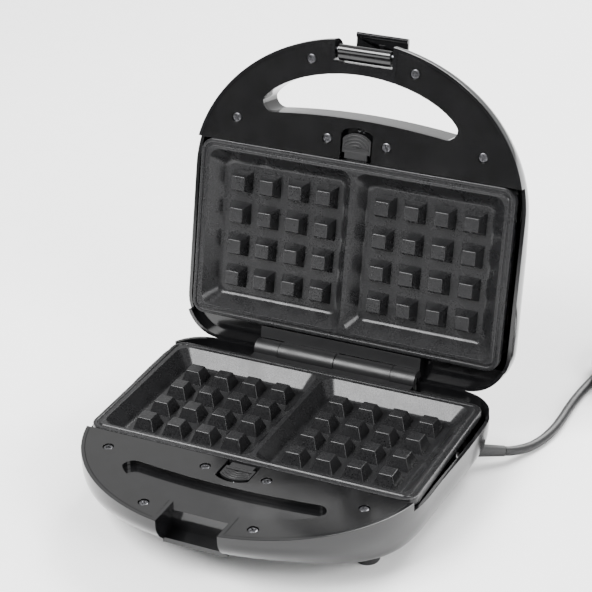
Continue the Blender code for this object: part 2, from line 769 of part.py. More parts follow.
def cord_clamp(finish, parent):
    """A saddle over the inner lead, on the side that faces the plates."""
    middle = EXIT_POINT - 19.0 * EXIT_DIRECTION
    flat = Vector((EXIT_DIRECTION.x, EXIT_DIRECTION.y, 0.0)).normalized()
    bm = box((-4.0, 4.0), (-13.0, 13.0), (-3.0, 6.5))
    turn = Matrix.Rotation(math.atan2(flat.y, flat.x), 3, "Z")
    bmesh.ops.rotate(bm, verts=bm.verts, matrix=turn)
    bmesh.ops.translate(bm, verts=bm.verts, vec=middle)
    made = piece("cord_clamp", bm, finish, parent)
    start = middle - 20.0 * EXIT_DIRECTION
    end = middle + 20.0 * EXIT_DIRECTION
    boolean(made, cutter("clamp_groove", rod(start, end, CORD_RADIUS + 0.4, 12), parent))
    lower = box((-30.0, 30.0), (-30.0, 30.0), (-20.0, 0.0))
    bmesh.ops.translate(lower, verts=lower.verts, vec=middle)
    boolean(made, cutter("clamp_lower_half", lower, parent))
    return made


def smooth_route(points, spacing):
    """Points read evenly from a Catmull-Rom curve through the route's own points."""
    spots = [Vector(p) for p in points]
    spots = [2 * spots[0] - spots[1]] + spots + [2 * spots[-1] - spots[-2]]
    fine = []
    for a, b, c, d in zip(spots, spots[1:], spots[2:], spots[3:]):
        for i in range(20):
            t = i / 20
            fine.append(
                0.5 * (2 * b + (c - a) * t + (2 * a - 5 * b + 4 * c - d) * t ** 2
                       + (3 * b - a - 3 * c + d) * t ** 3)
            )
    fine.append(spots[-2])
    total = sum((b - a).length for a, b in zip(fine, fine[1:]))
    steps = max(1, round(total / spacing))
    even = [fine[0]]
    travelled = 0.0
    for a, b in zip(fine, fine[1:]):
        step = (b - a).length
        while len(even) < steps and travelled + step >= len(even) * total / steps:
            even.append(a.lerp(b, (len(even) * total / steps - travelled) / step))
        travelled += step
    even.append(fine[-1])
    return even


def mains_cord(finish, parent):
    start = EXIT_POINT + (RELIEF_LENGTH + GAP) * EXIT_DIRECTION
    straight = start + CORD_STRAIGHT * EXIT_DIRECTION
    resting = [Vector((x, y, CORD_REST_Z)) for x, y in CORD_ROUTE]
    landing = [Vector(point) for point in CORD_LANDING]
    points = smooth_route([start, straight] + landing + resting, 7.0)
    points.insert(1, straight)
    return tube("mains_cord", points, CORD_RADIUS, finish, parent, 2)


def cord_coil(finish, parent):
    """The outer shape of the wound part of the lead, as a turned ring."""
    bm = bmesh.new()
    low = FLOOR_Z + TIE_LIFT
    high = low + COIL_HEIGHT
    inner = COIL_RADIUS - COIL_HALF_WIDTH
    outer = COIL_RADIUS + COIL_HALF_WIDTH
    corner = 2.5
    profile = (
        (outer, high - corner),
        (outer, low + corner),
        (outer - corner, low),
        (inner + corner, low),
        (inner, low + corner),
        (inner, high - corner),
        (inner + corner, high),
        (outer - corner, high),
    )
    verts = [bm.verts.new((x, 0.0, z)) for x, z in profile]
    for a, b in zip(verts, verts[1:] + verts[:1]):
        bm.edges.new((a, b))
    made = mesh_object("mains_cord_coil", bm, parts, parent, (*COIL_CENTRE, 0.0))
    made.data.materials.append(finish)
    screw = made.modifiers.new("Screw", "SCREW")
    screw.steps = 32
    screw.render_steps = 32
    screw.use_merge_vertices = True
    screw.merge_threshold = 0.00005
    return made


def cord_tie(finish, parent):
    """A flat band closed round the coil's winding, on the side towards the object."""
    half = 3.0
    inner = COIL_HALF_WIDTH + GAP
    thick = 1.0
    x = COIL_CENTRE[0]
    y = COIL_CENTRE[1] - COIL_RADIUS
    low = FLOOR_Z + TIE_LIFT - GAP
    high = FLOOR_Z + TIE_LIFT + COIL_HEIGHT + GAP
    band = box((x - half, x + half), (y - inner - thick, y + inner + thick), (low - thick, high + thick))
    made = piece("cord_tie", band, finish, parent)
    room = box((x - 10.0, x + 10.0), (y - inner, y + inner), (low, high))
    boolean(made, cutter("cord_tie_room", room, parent))
    return made


def mains_plug(rubber, brass, parent):
    """A flat two-blade plug, lying beside the coil with its tail towards the winding."""
    axis_z = FLOOR_Z + 8.2
    body_y = PLUG_TAIL_Y - 14.0
    face_y = body_y - 30.0
    bm = box((PLUG_X - 11.0, PLUG_X + 11.0), (face_y, body_y), (axis_z - 7.5, axis_z + 7.5))
    corners = [e for e in bm.edges if abs((e.verts[0].co - e.verts[1].co).y) > 1.0]
    bmesh.ops.bevel(bm, geom=corners, offset=3.0, segments=2, affect="EDGES")
    body = piece("mains_plug", bm, rubber, parent)
    tail = rod((PLUG_X, body_y - 2.0, axis_z), (PLUG_X, PLUG_TAIL_Y, axis_z - 2.0), 5.0, 14, 4.0)
    boolean(body, cutter("plug_tail", tail, parent), "UNION")
    for name, x in (("plug_blade_left", -6.35), ("plug_blade_right", 6.35)):
        z = (axis_z - 3.2, axis_z + 3.2)
        middle = PLUG_X + x
        blade = box((middle - 0.75, middle + 0.75), (face_y - GAP - 17.0, face_y - GAP), z)
        piece(name, blade, brass, parent)


# Build

for old in list(bpy.data.objects):
    bpy.data.objects.remove(old, do_unlink=True)

parts = collection("waffle_maker")
cutters = collection("cutters")

gloss = material("black_gloss_plastic", (0.012, 0.012, 0.012), 0.12)
satin = material("black_satin_plastic", (0.022, 0.022, 0.023), 0.45)
coating = material("nonstick_coating", (0.06, 0.06, 0.062), 0.38, 0.3)
steel = material("plated_steel", (0.55, 0.55, 0.56), 0.3, 1.0)
sheet = material("aluminised_sheet", (0.7, 0.7, 0.7), 0.35, 1.0)
sheath = material("element_sheath", (0.16, 0.15, 0.14), 0.5, 1.0)
ceramic = material("white_ceramic", (0.75, 0.73, 0.68), 0.6)
rubber = material("black_rubber", (0.03, 0.03, 0.031), 0.7)
brass = material("brass_blade", (0.75, 0.6, 0.3), 0.3, 1.0)
red = material("red_lens", (0.6, 0.02, 0.01), 0.15)
green = material("green_lens", (0.02, 0.4, 0.05), 0.15)

stand = empty("stand", (0.0, -STAND_CENTRE_Y, -FLOOR_Z))
hinge_axis = empty("lid_hinge", (0.0, HINGE_Y, HINGE_Z), -OPEN_ANGLE, stand)
lid = empty("lid_frame", (0.0, -HINGE_Y, -HINGE_Z), 0.0, hinge_axis)
latch_axis = empty("latch_pivot", (0.0, LATCH_Y, LATCH_Z), -LATCH_FOLDED, lid)

lower_housing = housing(BASE, "lower_housing", BASE_DEPTH, gloss, stand)
upper_housing = housing(LID, "upper_housing", LID_DEPTH, gloss, lid)
latch_holes = rod((-30.0, LATCH_Y, LATCH_Z), (30.0, LATCH_Y, LATCH_Z), LATCH_BORE, 12)
boolean(upper_housing, cutter("latch_pin_holes", latch_holes, lid))

for half, side, parent in (("lower", BASE, stand), ("upper", LID, lid)):
    cover(side, half + "_handle_cover", gloss, parent)
    cover_screws(side, half, steel, parent)
    cooking_plate(side, half + "_cooking_plate", coating, parent)
    reflector_tray(side, half + "_reflector_tray", sheet, parent)
    heating_element(side, half + "_heating_element", sheath, parent)
    catch(side, half + "_plate_catch", satin, parent)
    catch_spring(side, half + "_catch_spring", steel, parent)
thermostat(BASE, "thermostat", ceramic, stand)
thermostat(LID, "lid_thermal_cutout", ceramic, lid)

pin_ends = [(x, HINGE_Y, HINGE_Z) for x in (-HINGE_PIN_HALF, HINGE_PIN_HALF)]
hinge_pin = rod(*pin_ends, PIN_RADIUS, 12)
piece("hinge_pin", hinge_pin, steel, stand)
latch_ends = [(x, LATCH_Y, LATCH_Z) for x in (-LATCH_PIN_HALF, LATCH_PIN_HALF)]
latch_pin = rod(*latch_ends, LATCH_PIN, 10)
piece("latch_pin", latch_pin, steel, lid)
latch(gloss, latch_axis)

fuse_z = -TRAY_BOTTOM - 2.6
fuse = rod((-36.0, THERMOSTAT_Y, fuse_z), (-22.0, THERMOSTAT_Y, fuse_z), 2.2, 12)
piece("thermal_fuse", fuse, ceramic, stand)
terminals = box((30.0, 56.0), (24.0, 38.0), (-35.2, -25.0))
piece("terminal_block", terminals, ceramic, stand)
indicator("power_light", -9.0, red, upper_housing, lid)
indicator("ready_light", 9.0, green, upper_housing, lid)

for name, (x, y) in zip(("front_left", "front_right", "rear_left", "rear_right"), FEET):
    foot("foot_" + name, x, y, rubber, stand)

strain_relief(lower_housing, rubber, stand)
inner_lead(rubber, stand)
cord_clamp(satin, stand)
mains_cord(rubber, stand)
cord_coil(rubber, stand)
cord_tie(rubber, stand)
mains_plug(rubber, brass, stand)
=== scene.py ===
import json
import math

import bmesh
import bpy
from mathutils import Matrix, Vector


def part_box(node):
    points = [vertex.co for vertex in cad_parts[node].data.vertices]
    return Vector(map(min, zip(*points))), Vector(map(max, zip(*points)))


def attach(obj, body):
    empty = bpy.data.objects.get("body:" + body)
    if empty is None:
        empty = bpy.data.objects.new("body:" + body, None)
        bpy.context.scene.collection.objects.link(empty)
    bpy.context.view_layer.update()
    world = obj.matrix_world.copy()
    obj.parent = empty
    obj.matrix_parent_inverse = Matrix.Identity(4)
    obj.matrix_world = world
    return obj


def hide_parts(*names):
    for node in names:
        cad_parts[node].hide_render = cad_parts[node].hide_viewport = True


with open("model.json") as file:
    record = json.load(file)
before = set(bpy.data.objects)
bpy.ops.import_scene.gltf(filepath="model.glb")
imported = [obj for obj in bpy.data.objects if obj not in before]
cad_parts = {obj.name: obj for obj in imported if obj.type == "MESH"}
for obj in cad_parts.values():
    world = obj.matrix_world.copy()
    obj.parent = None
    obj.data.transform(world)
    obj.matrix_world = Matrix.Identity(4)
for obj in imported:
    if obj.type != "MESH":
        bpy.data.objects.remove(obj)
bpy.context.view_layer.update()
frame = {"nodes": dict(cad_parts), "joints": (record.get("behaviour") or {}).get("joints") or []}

mm = 0.001
base = -1  # depth runs down from the parting plane
lid = 1  # depth runs up from it, drawn shut

# Pieces are drawn in millimetres with the waffle maker shut: y 0 is the middle of the plates.
joints = {joint["name"]: joint for joint in frame["joints"]}
hinge = {"y": 77.1, "z": -2.3, "radius": 6.8, "room": 7.4, "bore": 2.5, "half": 58.5}
openAngle = joints["lid_hinge"]["range_deg"][1]
foldAngle = joints["latch_pivot"]["range_deg"][1]
standShift = Vector(joints["lid_hinge"]["pos_m"]) - Vector((0, hinge["y"], hinge["z"])) * mm
floorZ = -standShift.z / mm  # the worktop, in the drawing's own height
baseTurn = Matrix.Translation(standShift)


def turnAbout(y, z, degrees):
    middle = Matrix.Translation(Vector((0, y, z)) * mm)
    return middle @ Matrix.Rotation(math.radians(degrees), 4, "X") @ middle.inverted()


lidTurn = baseTurn @ turnAbout(hinge["y"], hinge["z"], -openAngle)
turns = {base: baseTurn, lid: lidTurn}
bodies = {base: "base", lid: "lid"}
halves = {base: "lower", lid: "upper"}
print("frame loaded, lid open by", openAngle)

# Camera

camera = {"place": (488.945, -1008.991, 669.067), "azimuth": 25.385, "elevation": 27.499, "roll": -1.0017}
camera.update({"lens": 123.43, "shiftX": -0.0064, "shiftY": 0.001})
bpy.ops.object.camera_add(location=standShift + Vector(camera["place"]) * mm)
eye = bpy.context.object
eye.data.lens = camera["lens"]
eye.data.sensor_width = 36
eye.data.shift_x = camera["shiftX"]
eye.data.shift_y = camera["shiftY"]
aim = Matrix.Rotation(math.radians(camera["azimuth"]), 3, "Z")
aim = aim @ Matrix.Rotation(math.radians(90 - camera["elevation"]), 3, "X")
eye.rotation_euler = (aim @ Matrix.Rotation(math.radians(camera["roll"]), 3, "Z")).to_euler()
bpy.context.scene.camera = eye


# Small tools

def pick(*pieces):
    bpy.ops.object.select_all(action="DESELECT")
    for piece in pieces:
        piece.select_set(True)
    bpy.context.view_layer.objects.active = pieces[0]


def finishModifier(piece, kind, **values):
    step = piece.modifiers.new("step", kind)
    for key, value in values.items():
        setattr(step, key, value)
    pick(piece)
    bpy.ops.object.modifier_apply(modifier=step.name)


def combine(piece, tool, how="DIFFERENCE"):
    finishModifier(piece, "BOOLEAN", operation=how, solver="EXACT", object=tool)
    bpy.data.objects.remove(tool, do_unlink=True)


def named(name):
    piece = bpy.context.object
    piece.name = name
    piece.data.name = name
    return piece


def block(x, y, z, name="tool"):
    size = (x[1] - x[0], y[1] - y[0], z[1] - z[0])
    middle = Vector((x[0] + x[1], y[0] + y[1], z[0] + z[1])) / 2 * mm
    bpy.ops.mesh.primitive_cube_add(size=1, location=middle, scale=Vector(size) * mm)
    piece = named(name)
    pick(piece)
    bpy.ops.object.transform_apply(location=True, rotation=True, scale=True)
    return piece


def deepBlock(side, x, y, depth, name="tool"):
    return block(x, y, sorted((side * depth[0], side * depth[1])), name)


def rod(start, end, radius, endRadius=None, sides=48, name="tool"):
    start = Vector(start) * mm
    end = Vector(end) * mm
    top = radius if endRadius is None else endRadius
    turn = (end - start).to_track_quat("Z", "Y").to_euler()
    bpy.ops.mesh.primitive_cone_add(
        vertices=sides, radius1=radius * mm, radius2=top * mm, depth=(end - start).length,
        location=(start + end) / 2, rotation=turn)
    piece = named(name)
    pick(piece)
    bpy.ops.object.transform_apply(location=True, rotation=True, scale=True)
    return piece


def group(tools):  # several separate shapes as one cutter or one piece
    pick(*tools)
    if len(tools) > 1:
        bpy.ops.object.join()
    return bpy.context.object


def skin(rings, name="tool"):
    # a circle is filled, then extruded and shaped ring by ring, so both ends are closed
    count = len(rings[0])
    bpy.ops.mesh.primitive_circle_add(vertices=count, radius=1, fill_type="NGON")
    piece = named(name)
    spots = piece.data.attributes.new("spot", "INT", "POINT")
    spots.data.foreach_set("value", range(count))
    pick(piece)
    bpy.ops.object.mode_set(mode="EDIT")
    bpy.ops.mesh.select_all(action="SELECT")
    for level, ring in enumerate(rings):
        if level:
            bpy.ops.mesh.extrude_region_move()
        sheet = bmesh.from_edit_mesh(piece.data)
        spot = sheet.verts.layers.int["spot"]
        for corner in sheet.verts:
            if corner.select:
                corner.co = Vector(ring[corner[spot]]) * mm
        bmesh.update_edit_mesh(piece.data)
    bpy.ops.mesh.select_all(action="SELECT")
    bpy.ops.mesh.normals_make_consistent(inside=False)
    bpy.ops.object.mode_set(mode="OBJECT")
    piece.data.attributes.remove(piece.data.attributes["spot"])
    return piece


def soften(piece, width, segments=2, angle=32):
    finishModifier(
        piece, "BEVEL", width=width * mm, segments=segments, limit_method="ANGLE",
        angle_limit=math.radians(angle), use_clamp_overlap=True)


def settle(piece, turn, body, finish, replaced=(), smooth=32):
    # the mesh takes its final place, then the piece rides on its body
    pick(piece)
    bpy.ops.object.transform_apply(location=True, rotation=True, scale=True)
    piece.matrix_world = turn
    bpy.ops.object.transform_apply(location=True, rotation=True, scale=True)
    bpy.ops.object.mode_set(mode="EDIT")
    bpy.ops.mesh.select_all(action="SELECT")
    bpy.ops.mesh.remove_doubles(threshold=0.000005)
    bpy.ops.object.mode_set(mode="OBJECT")
    bpy.ops.object.shade_smooth_by_angle(angle=math.radians(smooth))
    finishModifier(piece, "WEIGHTED_NORMAL", keep_sharp=True, weight=100)
    piece.data.materials.clear()
    piece.data.materials.append(finish)
    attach(piece, body)
    if replaced:
        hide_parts(*replaced)
    return piece


def twin(piece, name, shift):
    copy = piece.copy()
    copy.data = piece.data.copy()
    copy.name = name
    copy.data.name = name
    bpy.context.scene.collection.objects.link(copy)
    copy.location = Vector(shift) * mm
    return copy


def smoothStep(t):
    t = min(1.0, max(0.0, t))
    return t * t * (3 - 2 * t)


# Materials

def toLinear(code):  # sRGB hex to linear colour
    values = []
    for i in (1, 3, 5):
        part = int(code[i:i + 2], 16) / 255
        values.append(part / 12.92 if part <= 0.04045 else ((part + 0.055) / 1.055) ** 2.4)
    return (*values, 1.0)


def addNode(tree, kind, sockets=None, **settings):
    node = tree.nodes.new(kind)
    for key, value in settings.items():
        setattr(node, key, value)
    for key, value in (sockets or {}).items():
        if isinstance(value, bpy.types.NodeSocket):
            tree.links.new(value, node.inputs[key])
        else:
            node.inputs[key].default_value = value
    return node


def perMetre(size):  # texture scale for a pattern that repeats about every size millimetres
    return 1 / (size * mm)


def makeFinish(name, look):
    # every finish: two tones in a fine pattern, roughness that drifts, and a bump of its own grain
    made = bpy.data.materials.new(name)
    made.use_nodes = True
    tree = made.node_tree
    shader = tree.nodes["Principled BSDF"]
    shader.inputs["Metallic"].default_value = look.get("metallic", 0.0)
    shader.inputs["IOR"].default_value = look.get("ior", 1.5)
    shader.inputs["Coat Weight"].default_value = look.get("coat", 0.0)
    shader.inputs["Coat Roughness"].default_value = look.get("coatRoughness", 0.05)
    shader.inputs["Transmission Weight"].default_value = look.get("clear", 0.0)
    where = addNode(tree, "ShaderNodeTexCoord").outputs["Object"]
    stretch = addNode(tree, "ShaderNodeMapping", {"Vector": where, "Scale": look.get("stretch", (1, 1, 1))})
    grain = addNode(tree, "ShaderNodeTexNoise", {
        "Vector": stretch.outputs["Vector"], "Scale": perMetre(look["grain"]), "Detail": 3.0,
        "Roughness": 0.6})
    drift = addNode(tree, "ShaderNodeTexNoise", {
        "Vector": where, "Scale": perMetre(look["drift"]), "Detail": 2.0})
    spread = addNode(tree, "ShaderNodeMapRange", {
        "Value": grain.outputs["Fac"], "From Min": look.get("from", 0.35),
        "From Max": look.get("to", 0.65)})
    tone = addNode(tree, "ShaderNodeMix", {"Factor": spread.outputs["Result"]}, data_type="RGBA")
    tone.inputs[6].default_value = toLinear(look["dark"])
    tone.inputs[7].default_value = toLinear(look["light"])
    rough = addNode(tree, "ShaderNodeMapRange", {
        "Value": drift.outputs["Fac"], "From Min": 0.3, "From Max": 0.7,
        "To Min": look["rough"][0], "To Max": look["rough"][1]})
    bump = addNode(tree, "ShaderNodeBump", {
        "Height": grain.outputs["Fac"], "Strength": look.get("strength", 0.2),
        "Distance": look["height"] * mm})
    tree.links.new(tone.outputs[2], shader.inputs["Base Color"])
    tree.links.new(rough.outputs["Result"], shader.inputs["Roughness"])
    tree.links.new(bump.outputs["Normal"], shader.inputs["Normal"])
    return made


finishes = {}
# Polypropylene, injection moulded in a polished tool: deep gloss with a very slow waviness
finishes["polishedPolypropylene"] = makeFinish("polishedPolypropylene", {
    "dark": "#0b0b0c", "light": "#0f0f10", "grain": 9, "drift": 30, "rough": (0.09, 0.15),
    "height": 0.02, "strength": 0.25, "ior": 1.49})
# PBT handle covers, moulded and polished: a shade darker, same clean gloss
finishes["polishedPbt"] = makeFinish("polishedPbt", {
    "dark": "#080808", "light": "#0c0c0d", "grain": 7, "drift": 24, "rough": (0.1, 0.17),
    "height": 0.02, "strength": 0.25, "ior": 1.5})
# Glass-filled nylon, moulded with a spark-eroded texture: soft grey sheen
finishes["texturedNylon"] = makeFinish("texturedNylon", {
    "dark": "#101011", "light": "#161617", "grain": 0.7, "drift": 12, "rough": (0.36, 0.46),
    "height": 0.05, "strength": 0.5, "ior": 1.42})
# PTFE non-stick with mineral flecks, sprayed and baked on cast aluminium: dark satin with pale specks
finishes["sprayedNonstick"] = makeFinish("sprayedNonstick", {
    "dark": "#171718", "light": "#2d2d2e", "grain": 0.9, "drift": 14, "rough": (0.24, 0.31), "from": 0.4,
    "to": 0.7, "height": 0.03, "strength": 0.35, "metallic": 0.3, "ior": 1.38})
# Aluminised steel, pressed: dull bright with a cold spangle
finishes["pressedAluminised"] = makeFinish("pressedAluminised", {
    "dark": "#a9aaac", "light": "#c9cacb", "grain": 4, "drift": 20, "rough": (0.28, 0.42),
    "height": 0.03, "metallic": 1.0})
# Steel heater sheath, drawn and heat darkened: brown black
finishes["oxidisedSheath"] = makeFinish("oxidisedSheath", {
    "dark": "#3a3631", "light": "#554f48", "grain": 2, "drift": 10, "rough": (0.4, 0.55),
    "height": 0.04, "metallic": 1.0})
# Steel screws and pins, zinc plated and blackened: dark with bright worn edges
finishes["blackenedZinc"] = makeFinish("blackenedZinc", {
    "dark": "#3c3c3e", "light": "#6b6b6e", "grain": 1.2, "drift": 5, "rough": (0.25, 0.38),
    "height": 0.02, "metallic": 1.0})
# Spring steel, cold drawn: bright along the wire
finishes["drawnSpringSteel"] = makeFinish("drawnSpringSteel", {
    "dark": "#8e8f92", "light": "#b4b5b8", "grain": 0.6, "drift": 6, "rough": (0.2, 0.32),
    "height": 0.01, "metallic": 1.0})
# Phenolic, compression moulded: brown black and dull
finishes["mouldedPhenolic"] = makeFinish("mouldedPhenolic", {
    "dark": "#1d1512", "light": "#2c211c", "grain": 1.0, "drift": 8, "rough": (0.45, 0.6), "height": 0.03})
# Glass fibre sleeve, woven: off-white with a thread every 0.8 mm
finishes["wovenGlass"] = makeFinish("wovenGlass", {
    "dark": "#c9c4b6", "light": "#e6e2d6", "grain": 0.8, "drift": 5, "rough": (0.7, 0.85), "height": 0.15,
    "strength": 0.8, "stretch": (1, 3, 3)})
# Nylon terminal block, moulded in its natural colour
finishes["naturalNylon"] = makeFinish("naturalNylon", {
    "dark": "#cfcabb", "light": "#ddd9cc", "grain": 2, "drift": 10, "rough": (0.4, 0.5), "height": 0.03})
# Polycarbonate lamp lenses, moulded and tinted: glossy and slightly clear
finishes["redLens"] = makeFinish("redLens", {
    "dark": "#8e0d0a", "light": "#a51410", "grain": 2, "drift": 4, "rough": (0.06, 0.12), "height": 0.01,
    "ior": 1.58, "clear": 0.25})
finishes["greenLens"] = makeFinish("greenLens", {
    "dark": "#0c5c22", "light": "#14752e", "grain": 2, "drift": 4, "rough": (0.06, 0.12), "height": 0.01,
    "ior": 1.58, "clear": 0.25})
# Rubber feet, compression moulded: matt with dust in the grain
finishes["mouldedRubber"] = makeFinish("mouldedRubber", {
    "dark": "#19191a", "light": "#262627", "grain": 0.8, "drift": 6, "rough": (0.65, 0.8), "height": 0.06,
    "strength": 0.5, "ior": 1.52})
# PVC cord jacket, extruded: smooth and matt, drawn out along its length
finishes["extrudedPvc"] = makeFinish("extrudedPvc", {
    "dark": "#151516", "light": "#1d1d1e", "grain": 1.5, "drift": 18, "rough": (0.42, 0.52), "height": 0.03,
    "ior": 1.45})
# PVC plug and sleeve, moulded over the cord: matt with a fine texture
finishes["mouldedPvc"] = makeFinish("mouldedPvc", {
    "dark": "#1a1a1b", "light": "#242425", "grain": 0.8, "drift": 9, "rough": (0.5, 0.62), "height": 0.05,
    "strength": 0.5, "ior": 1.53})
# Brass blades, stamped and tumbled: warm with faint scratches
finishes["stampedBrass"] = makeFinish("stampedBrass", {
    "dark": "#b3954e", "light": "#cdb06a", "grain": 1.0, "drift": 6, "rough": (0.22, 0.34), "height": 0.02,
    "metallic": 1.0, "stretch": (4, 1, 4)})
print("finishes made", len(finishes))


# Mains lead, plug and tie

lead = {"radius": 3.2, "exit": (104.8, 60.3, -35.0), "direction": (0.80, 0.585, -0.165)}
lead.update({"relief": 22.0, "gap": 0.3, "straight": 3.0, "rest": 3.4, "spacing": 3.5})
leadLanding = ((129.9, 82.3, -40.8), (134.2, 90.2, -42.0))
leadRoute = (
    (137.6, 100.0), (140.0, 110.0), (141.4, 121.0), (141.8, 132.5), (141.7, 144.0),
    (141.8, 155.5), (142.4, 167.5), (143.5, 180.0), (145.7, 199.0))
coil = {"centre": (190.2, 215.2), "start": 200, "entry": 47.4, "outer": 39.2, "inner": 32.8}
coil.update({"top": 36.0, "leave": 48.8, "lift": 1.4, "nest": 5.54, "over": 6.4})
plug = {"x": 239.0, "tail": 203.0, "axis": 8.2, "body": (22.0, 30.0, 15.0), "neck": 14.0, "sides": 40}
plug.update({"drop": 2.0, "flat": 0.55, "round": 0.8, "ridges": 4, "firstRidge": 9, "ridgePitch": 3.2})
tie = {"corner": 3.0, "thick": 1.0, "edge": 0.3, "ease": 0.25}


def laneRadius(turned):
    # outer lane, then the inner one, then a turn in the groove on top, then out to the plug
    c = coil
    r = c["outer"] + (c["entry"] - c["outer"]) * (1 - min(1.0, turned / 60)) ** 2
    r += (c["inner"] - c["outer"]) * smoothStep((turned - 330) / 85)
    r += (c["top"] - c["inner"]) * smoothStep((turned - 720) / 90)
    r += (c["leave"] - c["top"]) * smoothStep((turned - 950) / 160)
    return r


def laneHeight(turned):
    c = coil
    low = lead["radius"] + c["lift"]
    z = lead["rest"] + (low - lead["rest"]) * smoothStep(turned / 60)
    z += c["over"] * smoothStep((turned - 655) / 63)
    z -= (c["over"] - c["nest"]) * smoothStep((turned - 760) / 70)
    z += (c["over"] - c["nest"]) * smoothStep((turned - 900) / 70)
    z -= (low + c["over"] - plug["axis"] + plug["drop"]) * smoothStep((turned - 1120) / 90)
    return floorZ + z


def leadPoints():
    exit = Vector(lead["exit"])
    along = Vector(lead["direction"]).normalized()
    start = exit + (lead["relief"] + lead["gap"]) * along
    points = [start, start + lead["straight"] * along]
    points += [Vector(spot) for spot in leadLanding]
    points += [Vector((x, y, floorZ + lead["rest"])) for x, y in leadRoute]
    for turned in range(12, 1276, 12):
        angle = math.radians(coil["start"] - turned)
        r = laneRadius(turned)
        spot = (coil["centre"][0] + r * math.cos(angle), coil["centre"][1] + r * math.sin(angle))
        points.append(Vector((*spot, laneHeight(turned))))
    tailZ = floorZ + plug["axis"] - plug["drop"]
    points.append(Vector((plug["x"], plug["tail"] + 5.0, tailZ)))
    points.append(Vector((plug["x"], plug["tail"] + lead["gap"], tailZ)))
    return points


def evenCurve(points, spacing):
    # points read evenly from a Catmull-Rom curve through the route's own points
    spots = [2 * points[0] - points[1]] + points + [2 * points[-1] - points[-2]]
    fine = []
    for a, b, c, d in zip(spots, spots[1:], spots[2:], spots[3:]):
        for i in range(12):
            t = i / 12
            fine.append(0.5 * (2 * b + (c - a) * t + (2 * a - 5 * b + 4 * c - d) * t ** 2
                               + (3 * b - a - 3 * c + d) * t ** 3))
    fine.append(points[-1])
    even = [fine[0]]
    travelled = 0.0
    for a, b in zip(fine, fine[1:]):
        travelled += (b - a).length
        if travelled >= spacing:
            even.append(b)
            travelled = 0.0
    even[-1] = fine[-1]
    return even


def makeLead():
    path = [standShift + point * mm for point in evenCurve(leadPoints(), lead["spacing"])]
    line = bpy.data.curves.new("mains_lead", "CURVE")
    line.dimensions = "3D"
    line.bevel_depth = lead["radius"] * mm
    line.bevel_resolution = 5
    line.use_fill_caps = True
    spline = line.splines.new("POLY")
    spline.points.add(len(path) - 1)
    for target, spot in zip(spline.points, path):
        target.co = (*spot, 1.0)
    spline.use_smooth = True
    piece = bpy.data.objects.new("mains_lead", line)
    bpy.context.scene.collection.objects.link(piece)
    piece.data.materials.append(finishes["extrudedPvc"])
    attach(piece, "base")
    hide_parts("mains_cord", "mains_cord_coil")
    length = sum((b - a).length for a, b in zip(path, path[1:]))
    print("mains lead", round(length, 3), "m")
    return piece, path, length


def turnedRings(profile, start, along, sides):
    turn = Vector(along).to_track_quat("Z", "Y").to_matrix()
    rings = []
    for distance, radius in profile:
        ring = []
        for i in range(sides):
            angle = 2 * math.pi * i / sides
            spot = Vector((radius * math.cos(angle), radius * math.sin(angle), distance))
            ring.append(turn @ spot + Vector(start))
        rings.append(ring)
    return rings


def makeRelief():
    # plain tapered sleeve, with a collar inside the wall
    reach = lead["relief"]
    profile = [(-9.0, 6.4), (-8.8, 6.6), (-5.8, 6.6), (-5.6, 6.4), (-5.6, 4.4), (3.0, 4.35), (8.0, 4.15),
               (14.0, 3.9), (reach - 1.2, 3.62), (reach - 0.3, 3.55), (reach, 3.3)]
    piece = skin(turnedRings(profile, lead["exit"], lead["direction"], 40), "cord_sleeve")
    return settle(piece, baseTurn, "base", finishes["mouldedPvc"], ["cord_strain_relief"])


def makePlug():
    # flat two-blade plug: swept waist, finger ridges and a round neck
    wide, long, high = plug["body"]
    z = floorZ + plug["axis"]
    face = plug["tail"] - plug["neck"] - long
    shape = ((0.0, 1.0, 1.0), (0.12, 1.0, 1.0), (0.35, 0.93, 0.96), (0.6, 0.86, 0.9), (0.8, 0.78, 0.82),
             (1.0, 0.6, 0.72), (1.2, 0.42, 0.6), (1.46, 0.38, 0.54))
    rings = []
    for share, xScale, zScale in shape:
        ring = []
        for i in range(plug["sides"]):
            angle = 2 * math.pi * i / plug["sides"]
            power = plug["flat"] if share < 1.0 else plug["round"]
            x = math.copysign(abs(math.cos(angle)) ** power, math.cos(angle)) * wide / 2 * xScale
            up = math.copysign(abs(math.sin(angle)) ** power, math.sin(angle)) * high / 2 * zScale
            drop = plug["drop"] * smoothStep((share - 0.6) / 0.8)
            ring.append((plug["x"] + x, face + share * long, z + up - drop))
        rings.append(ring)
    piece = skin(rings, "plug_body")
    ridges = []
    for i in range(plug["ridges"]):
        y = face + plug["firstRidge"] + i * plug["ridgePitch"]
        for x in (-1, 1):
            reach = plug["x"] + x * (wide / 2 * 0.93)
            ridges.append(block((reach - 0.9, reach + 0.9), (y, y + 1.2), (z - 5, z + 5)))
    combine(piece, group(ridges))
    soften(piece, 0.35, 2, 40)
    return settle(piece, baseTurn, "base", finishes["mouldedPvc"], ["mains_plug"], 40)


